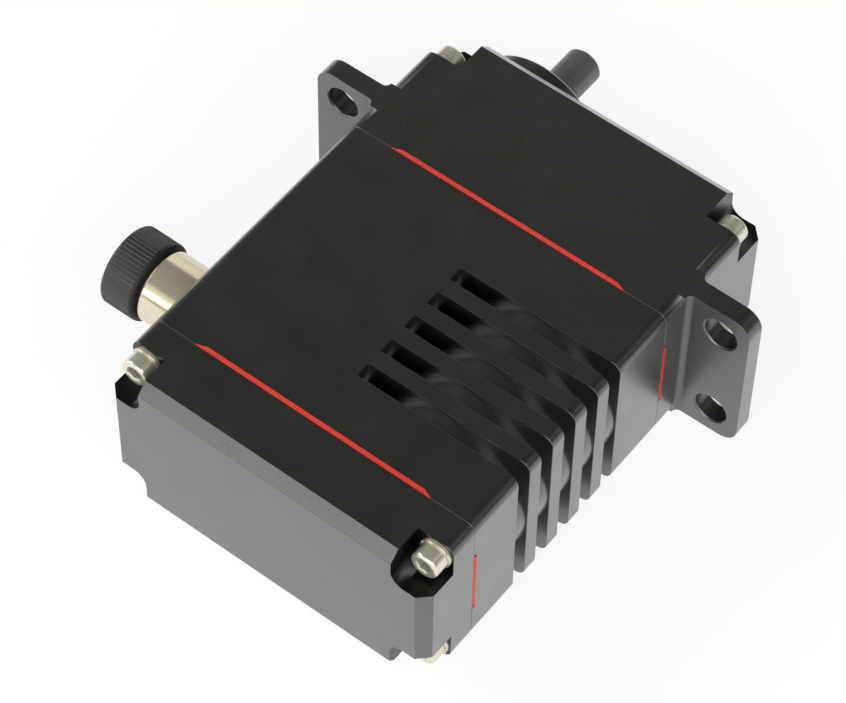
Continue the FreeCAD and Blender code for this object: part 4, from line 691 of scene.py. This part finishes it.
def tree_ribs():
    """Straight four-sided ribs round a turned cap, joined to the cap's own mesh."""
    tree, given, result = geometry_tree("Ribs round a cap", [
        ("Count", "NodeSocketInt"), ("Radius", "NodeSocketFloat"), ("Rib", "NodeSocketFloat"),
        ("Length", "NodeSocketFloat"), ("Centre", "NodeSocketVector"),
        ("Material", "NodeSocketMaterial")])
    circle = add(tree, "GeometryNodeMeshCircle", {"Vertices": given["Count"],
                                                  "Radius": given["Radius"]})
    rib = add(tree, "GeometryNodeMeshCylinder", {"Vertices": 4, "Radius": given["Rib"],
                                                 "Depth": given["Length"]})
    index = tree.nodes.new("GeometryNodeInputIndex").outputs[0]
    step = maths(tree, "DIVIDE", 2 * math.pi, given["Count"])
    turn = add(tree, "ShaderNodeCombineXYZ", {"Z": maths(tree, "MULTIPLY", index, step)})
    copies = add(tree, "GeometryNodeInstanceOnPoints",
                 {"Points": circle.outputs[0], "Instance": rib.outputs[0],
                  "Rotation": turn.outputs[0]})
    laid = add(tree, "GeometryNodeTransform", {"Geometry": copies.outputs[0],
                                               "Translation": given["Centre"],
                                               "Rotation": (0.0, math.pi / 2, 0.0)})
    both = tree.nodes.new("GeometryNodeJoinGeometry")
    tree.links.new(laid.outputs[0], both.inputs[0])
    tree.links.new(given["Geometry"], both.inputs[0])
    close_tree(tree, both.outputs[0], given, result)
    return tree


def run_tree(piece, tree, **values):
    """Runs a tree on a piece with its named inputs and keeps the result as a plain mesh."""
    modifier = piece.modifiers.new(tree.name, "NODES")
    modifier.node_group = tree
    for item in tree.interface.items_tree:
        key = item.name.lower().replace(" ", "_")
        if item.in_out == "INPUT" and key in values:
            modifier[item.identifier] = values[key]
    settle(piece)


# ------------------------------------------------
# Operators
# ------------------------------------------------

class ACTUATOR_OT_housing(bpy.types.Operator):
    """Finish the three black housing sections"""

    bl_idname = "actuator.housing"
    bl_label = "Housing"

    def execute(self, context):
        look = context.scene.actuator_housing
        for node in ("rear_cover", "centre_case", "output_cover"):
            dressed(node, "housing_black", "housing", edge=look.edge_round)
        return {"FINISHED"}


class ACTUATOR_OT_seals(bpy.types.Operator):
    """Finish the red seals and the black lip seal round the shaft"""

    bl_idname = "actuator.seals"
    bl_label = "Seals"

    def execute(self, context):
        look = context.scene.actuator_housing
        for node in ("rear_seal", "front_seal"):
            dressed(node, "seal_red", "housing", grow=look.seal_swell)
        dressed("shaft_seal", "shaft_seal_rubber", "housing")
        dressed("cap_seal", "shaft_seal_rubber", "cap_liner")
        return {"FINISHED"}


def socket_head_rings(look, length):
    """Heights and radii of a socket head screw that points along +Y and sits at zero."""
    head, shank, top = look.head_width / 2, look.shank_width / 2, look.head_height
    foot = top - length
    knurl, tip, drill_point = 0.025 * MM, 0.4 * MM, 0.3 * MM
    plain_foot, plain_crown, bevel = 0.2 * MM, 0.45 * MM, 0.12 * MM
    socket = hexagon(look.socket_width)
    floor = top - look.socket_depth

    def rippled(angle):
        return head - knurl * (0.5 + 0.5 * math.cos(angle * look.head_ripples))

    rings = [(foot, 0.0), (foot, shank * 0.8), (foot + tip, shank), (0.0, shank)]
    rings += [(rise * MM, head - step * MM) for rise, step in HEAD_FOOT]
    rings += [(plain_foot, rippled), (top - plain_crown, rippled)]
    rings += [(top - depth * MM, head - step * MM) for depth, step in HEAD_CROWN]
    return rings + [(top, look.socket_mouth / 2), (top - bevel, socket), (floor, socket),
                    (floor - drill_point, 0.0)]


def split_washer(look, thickness):
    """A spring washer: a flat ring with an oblique split."""
    inner, outer = look.washer_bore / 2, look.washer_width / 2
    steps, gap, slant = 48, math.radians(7), 0.05
    form = bmesh.new()
    rows = []
    for step in range(steps + 1):
        angle = gap - math.pi / 2 + (2 * math.pi - 2 * gap) * step / steps
        row = []
        for radius, height in ((inner, 0), (outer, 0), (outer, thickness), (inner, thickness)):
            turn = angle + (slant if height else -slant)
            row.append(form.verts.new((radius * math.sin(turn), height, radius * math.cos(turn))))
        rows.append(row)
    for first, second in zip(rows, rows[1:]):
        for side in range(4):
            following = (side + 1) % 4
            form.faces.new((first[side], first[following], second[following], second[side]))
    form.faces.new(rows[0])
    form.faces.new(rows[-1])
    bmesh.ops.recalc_face_normals(form, faces=form.faces)
    mesh = bpy.data.meshes.new("split_washer")
    form.to_mesh(mesh)
    form.free()
    return mesh


class ACTUATOR_OT_screws(bpy.types.Operator):
    """Set socket screws and split washers in the eight corner notches"""

    bl_idname = "actuator.screws"
    bl_label = "Corner screws"

    def execute(self, context):
        look = context.scene.actuator_hardware
        tree = tree_fasteners()
        for side, forward in (("front", True), ("rear", False)):
            low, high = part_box(f"{side}_screws")
            rings = socket_head_rings(look, high.y - low.y)
            screw = turned_mesh("socket_screw", rings, Vector(), ALONG, 4 * look.head_ripples)
            seat = high.y - look.head_height if forward else low.y + look.head_height
            self.set_corners(tree, f"{side}_corner_screws", screw, f"{side}_screws",
                             look.head_width / 2, seat, forward)
            low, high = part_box(f"{side}_washers")
            washer = split_washer(look, high.y - low.y)
            seat = low.y if forward else high.y
            self.set_corners(tree, f"{side}_split_washers", washer, f"{side}_washers",
                             look.washer_width / 2, seat, forward)
        return {"FINISHED"}

    def set_corners(self, tree, name, mesh, node, radius, seat, forward):
        """Sets a fastener in each corner of a node's box, in the node's place."""
        low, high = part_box(node)
        pattern = bpy.data.objects.new(f"{name}_pattern", mesh)
        bpy.context.scene.collection.objects.link(pattern)
        points = [(x, seat, z) for x in (low.x + radius, high.x - radius)
                  for z in (low.z + radius, high.z - radius)]
        corners = bpy.data.meshes.new(name)
        corners.from_pydata(points, [], [])
        piece = new_piece(name, corners, "stainless")
        run_tree(piece, tree, fastener=pattern, facing=0.0 if forward else math.pi,
                 turn_step=bpy.context.scene.actuator_hardware.turn_step,
                 material=finishes()["stainless"])
        shade(piece.data)
        bpy.data.objects.remove(pattern)
        declare(piece, "housing", node)


class ACTUATOR_OT_shaft(bpy.types.Operator):
    """Finish the output shaft with its rings, spacer, clip and magnet"""

    bl_idname = "actuator.shaft"
    bl_label = "Output shaft"

    def execute(self, context):
        dressed("output_shaft", "shaft_steel", "output", edge=0.06 * MM)
        for node in ("main_bearing_inner", "nose_bearing_inner", "foot_bearing_inner"):
            dressed(node, "bearing_steel", "output", edge=0.05 * MM)
        for node in ("main_bearing_outer", "nose_bearing_outer", "foot_bearing_outer",
                     "main_bearing_balls", "nose_bearing_balls", "foot_bearing_balls"):
            dressed(node, "bearing_steel", "housing")
        for node in ("foot_spacer", "shaft_clip"):
            dressed(node, "gear_steel", "output")
        dressed("sensor_magnet", "magnet_nickel", "output")
        return {"FINISHED"}


class ACTUATOR_OT_gears(bpy.types.Operator):
    """Finish the gear train and the idler axle"""

    bl_idname = "actuator.gears"
    bl_label = "Gear train"

    def execute(self, context):
        for node, body in (("motor_pinion", "rotor"), ("first_gear", "first_gear"),
                           ("second_gear", "second_gear"), ("third_gear", "third_gear"),
                           ("output_gear", "output"), ("idler_axle", "housing"),
                           ("axle_spacer", "housing")):
            dressed(node, "gear_steel", body)
        return {"FINISHED"}


class ACTUATOR_OT_motor(bpy.types.Operator):
    """Finish the motor and its rotor"""

    bl_idname = "actuator.motor"
    bl_label = "Motor"

    def execute(self, context):
        for node, slot, body in (
                ("motor_can", "motor_steel", "housing"),
                ("motor_end_cap", "motor_steel", "housing"),
                ("stator_core", "core_iron", "housing"),
                ("stator_winding", "copper_winding", "housing"),
                ("motor_bearings", "bearing_steel", "housing"),
                ("motor_screws", "stainless", "housing"),
                ("rotor_magnet", "magnet_nickel", "rotor"), ("rotor_shaft", "gear_steel", "rotor")):
            dressed(node, slot, body)
        return {"FINISHED"}


def repaint(node, slot):
    """Gives a CAD node's own mesh its full material."""
    mesh = frame["nodes"][node].data
    for index in range(len(mesh.materials)):
        mesh.materials[index] = finishes()[slot]


class ACTUATOR_OT_electronics(bpy.types.Operator):
    """Give the boards and their parts their materials"""

    bl_idname = "actuator.electronics"
    bl_label = "Electronics"

    def execute(self, context):
        for node, slot in (("sensor_chip", "chip_black"), ("sensor_board", "board_green"),
                           ("controller_board", "board_green"), ("processor_chip", "chip_black"),
                           ("power_transistors", "chip_black"), ("capacitors", "capacitor_can")):
            repaint(node, slot)
        return {"FINISHED"}


class ACTUATOR_OT_connector(bpy.types.Operator):
    """Finish the connector's barrel, insert, pins and nut"""

    bl_idname = "actuator.connector"
    bl_label = "Connector"

    def execute(self, context):
        dressed("connector_shell", "nickel_brass", "housing", edge=0.12 * MM)
        dressed("connector_nut", "nickel_brass", "housing", edge=0.10 * MM)
        dressed("connector_insert", "insert_plastic", "housing", edge=0.05 * MM)
        dressed("connector_pins", "contact_gold", "housing", edge=0.05 * MM)
        return {"FINISHED"}


class ACTUATOR_OT_cap(bpy.types.Operator):
    """Turn the cap and set the ribs round it"""

    bl_idname = "actuator.cap"
    bl_label = "Knurled cap"

    def execute(self, context):
        look = context.scene.actuator_plug
        low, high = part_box("knurled_cap")
        seal_low, seal_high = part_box("cap_seal")
        radius = (high.z - low.z) / 2
        root = radius - look.rib_height
        centre = Vector((high.x, (low.y + high.y) / 2, (low.z + high.z) / 2))
        length = high.x - low.x
        collar, rim, sides = look.collar, look.rim, 2 * look.rib_count
        play, mouth, band = 0.1 * MM, 0.35 * MM, radius - 0.04 * MM
        hollow, room = (seal_high.z - seal_low.z) / 2 + play, high.x - seal_low.x
        lip = [(mouth + rise * MM, band - step * MM) for rise, step in COLLAR_LIP]
        rings = [(mouth, hollow), *lip, (collar, band), (collar, hollow), (mouth, hollow)]
        mesh = turned_mesh("cap_collar", rings, centre, -ACROSS, sides)
        # The ring at the cap's open end takes the black rubber finish, darker and duller than the
        # cap
        piece = new_piece("cap_collar", mesh, "shaft_seal_rubber")
        declare(piece, "cap", "knurled_cap")
        bevel, dish, edge, face = 0.15 * MM, 0.05 * MM, root - 0.8 * MM, root - 0.9 * MM
        rings = [(room, 0.0), (room, hollow), (collar, hollow), (collar, root - bevel),
                 (collar + bevel, root)]
        rings += [(length - share * rim, root - step * MM) for share, step in CAP_RIM]
        rings += [(length, edge), (length - dish, face), (length - dish, 0.0)]
        mesh = turned_mesh("knurled_cap_turned", rings, centre, -ACROSS, sides)
        piece = new_piece("knurled_cap_turned", mesh, "cap_black")
        rib_length = length - collar - rim * 0.5
        rib_centre = centre - ACROSS * (collar + rib_length / 2)
        run_tree(piece, tree_ribs(), count=look.rib_count, radius=root,
                 rib=look.rib_height, length=rib_length, centre=rib_centre,
                 material=finishes()["cap_black"])
        shade(piece.data, angle=30.0)
        declare(piece, "cap", "knurled_cap")
        return {"FINISHED"}


class ACTUATOR_OT_studio(bpy.types.Operator):
    """Set the floor, the soft light and the camera"""

    bl_idname = "actuator.studio"
    bl_label = "Studio"

    def execute(self, context):
        scene = context.scene
        look = scene.actuator_studio
        self.make_floor(look)
        self.make_surround(scene, look)
        centre = (Vector(CAD_BOX[0]) + Vector(CAD_BOX[1])) / 2
        # Each softbox has a name, a place, the length of its side, a power and a colour
        softboxes = (("key", (0.35, -0.90, 0.62), 0.85, look.key, (1.0, 0.99, 0.97)),
                     ("left", (-0.90, -0.25, 0.45), 0.70, look.fill, (1.0, 1.0, 1.0)),
                     ("right", (0.85, -0.40, 0.55), 0.80, look.fill, (1.0, 1.0, 1.0)))
        for name, place, size, power, tint in softboxes:
            lamp = bpy.data.lights.new(f"{name}_softbox", "AREA")
            lamp.shape = "SQUARE"
            lamp.size = size
            lamp.energy = power
            lamp.color = tint
            stand = bpy.data.objects.new(f"{name}_softbox", lamp)
            stand.location = place
            stand.rotation_euler = (Vector(place) - centre).to_track_quat("Z", "Y").to_euler()
            scene.collection.objects.link(stand)
        lens = bpy.data.cameras.new("camera")
        lens.lens = look.lens
        lens.sensor_width = 36.0
        lens.sensor_fit = "HORIZONTAL"
        lens.clip_start = 0.01
        camera = bpy.data.objects.new("camera", lens)
        camera.location = look.camera_place
        camera.rotation_euler = Euler(look.camera_turn)
        scene.collection.objects.link(camera)
        scene.camera = camera
        scene.view_settings.view_transform = "Standard"
        return {"FINISHED"}

    def make_floor(self, look):
        """A pale floor under the object that also looks white in the metal."""
        level, reach = CAD_BOX[0][2], FLOOR_REACH
        mesh = bpy.data.meshes.new("floor")
        mesh.from_pydata([(-reach, -reach, level), (reach, -reach, level), (reach, reach, level),
                          (-reach, reach, level)], [], [(0, 1, 2, 3)])
        floor = bpy.data.objects.new("floor", mesh)
        bpy.context.scene.collection.objects.link(floor)
        material = bpy.data.materials.new("Studio floor")
        material.use_nodes = True
        tree = material.node_tree
        tree.nodes.clear()
        drift = add(tree, "ShaderNodeTexNoise", {"Vector": position(tree), "Scale": 6.0})
        tone = ramp(tree, drift.outputs[0], 0.0, 1.0, 0.99, 1.0)
        card = add(tree, "ShaderNodeBsdfDiffuse",
                   {"Color": scaled(tree, look.floor_colour, tone)})
        path = tree.nodes.new("ShaderNodeLightPath").outputs
        seen = maths(tree, "MAXIMUM", path["Is Camera Ray"],
                     maths(tree, "MAXIMUM", path["Is Glossy Ray"], path["Is Transmission Ray"]))
        glow = add(tree, "ShaderNodeEmission",
                   {"Strength": maths(tree, "MULTIPLY", seen, look.floor_glow)})
        both = add(tree, "ShaderNodeAddShader", {0: card.outputs[0], 1: glow.outputs[0]})
        output = tree.nodes.new("ShaderNodeOutputMaterial")
        tree.links.new(both.outputs[0], output.inputs["Surface"])
        mesh.materials.append(material)

    def make_surround(self, scene, look):
        """A white backdrop below dark walls with lit patches. The camera sees only white."""
        world = bpy.data.worlds.new("studio")
        scene.world = world
        world.use_nodes = True
        tree = world.node_tree
        tree.nodes.clear()
        direction = tree.nodes.new("ShaderNodeTexCoord").outputs["Generated"]
        rise = add(tree, "ShaderNodeSeparateXYZ", {0: direction}).outputs["Z"]
        level = vector_maths(tree, "MULTIPLY", direction, (1.0, 1.0, 0.0))
        level = vector_maths(tree, "NORMALIZE", level)
        whole = blend_colours(tree, ramp(tree, rise, *BACKDROP_TOP, smooth=True),
                              tuple(look.backdrop), tuple(look.walls))
        for heading, half, lowest, highest, tone in WALL_LIGHTS.values():
            facing = (math.cos(math.radians(heading)), math.sin(math.radians(heading)), 0.0)
            turn = vector_maths(tree, "DOT_PRODUCT", level, facing, output="Value")
            share = ramp(tree, turn, math.cos(math.radians(half + 2 * PATCH_EDGE)),
                         math.cos(math.radians(half)), smooth=True)
            for angle, step in ((lowest, -PATCH_EDGE), (highest, PATCH_EDGE)):
                edge = ramp(tree, rise, math.sin(math.radians(angle + step / 2)),
                            math.sin(math.radians(angle - step / 2)), smooth=True)
                share = maths(tree, "MULTIPLY", share, edge)
            whole = blend_colours(tree, share, whole, tone)
        seen = tree.nodes.new("ShaderNodeLightPath").outputs["Is Camera Ray"]
        whole = blend_colours(tree, seen, whole, tuple(look.backdrop))
        glow = add(tree, "ShaderNodeBackground", {"Color": whole, "Strength": 1.0})
        output = tree.nodes.new("ShaderNodeOutputWorld")
        tree.links.new(glow.outputs[0], output.inputs["Surface"])


class ACTUATOR_PT_panel(bpy.types.Panel):
    """Lists the steps that finish the actuator"""

    bl_idname = "ACTUATOR_PT_panel"
    bl_label = "Joint actuator"
    bl_space_type = "VIEW_3D"
    bl_region_type = "UI"
    bl_category = "Actuator"

    def draw(self, context):
        for step in STEPS:
            self.layout.operator(step.bl_idname)
        for group in LOOKS:
            box = self.layout.box()
            settings = getattr(context.scene, group)
            for key in settings.bl_rna.properties.keys():
                if key not in {"rna_type", "name"}:
                    box.prop(settings, key)


STEPS = (ACTUATOR_OT_studio, ACTUATOR_OT_housing, ACTUATOR_OT_seals, ACTUATOR_OT_screws,
         ACTUATOR_OT_shaft, ACTUATOR_OT_gears, ACTUATOR_OT_motor, ACTUATOR_OT_electronics,
         ACTUATOR_OT_connector, ACTUATOR_OT_cap)
LOOKS = {"actuator_housing": HousingLook, "actuator_hardware": HardwareLook,
         "actuator_plug": ConnectorLook, "actuator_studio": StudioLook}


def register():
    """Adds the settings, the steps and the panel."""
    for settings in LOOKS.values():
        bpy.utils.register_class(settings)
    for name, settings in LOOKS.items():
        setattr(bpy.types.Scene, name, PointerProperty(type=settings))
    for step in STEPS:
        bpy.utils.register_class(step)
    bpy.utils.register_class(ACTUATOR_PT_panel)


def unregister():
    """Takes them away again."""
    bpy.utils.unregister_class(ACTUATOR_PT_panel)
    for step in reversed(STEPS):
        bpy.utils.unregister_class(step)
    for name, settings in LOOKS.items():
        delattr(bpy.types.Scene, name)
        bpy.utils.unregister_class(settings)


def main():
    """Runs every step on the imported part."""
    register()
    for step in STEPS:
        family, name = step.bl_idname.split(".")
        getattr(getattr(bpy.ops, family), name)()


if __name__ == "__main__":
    main()
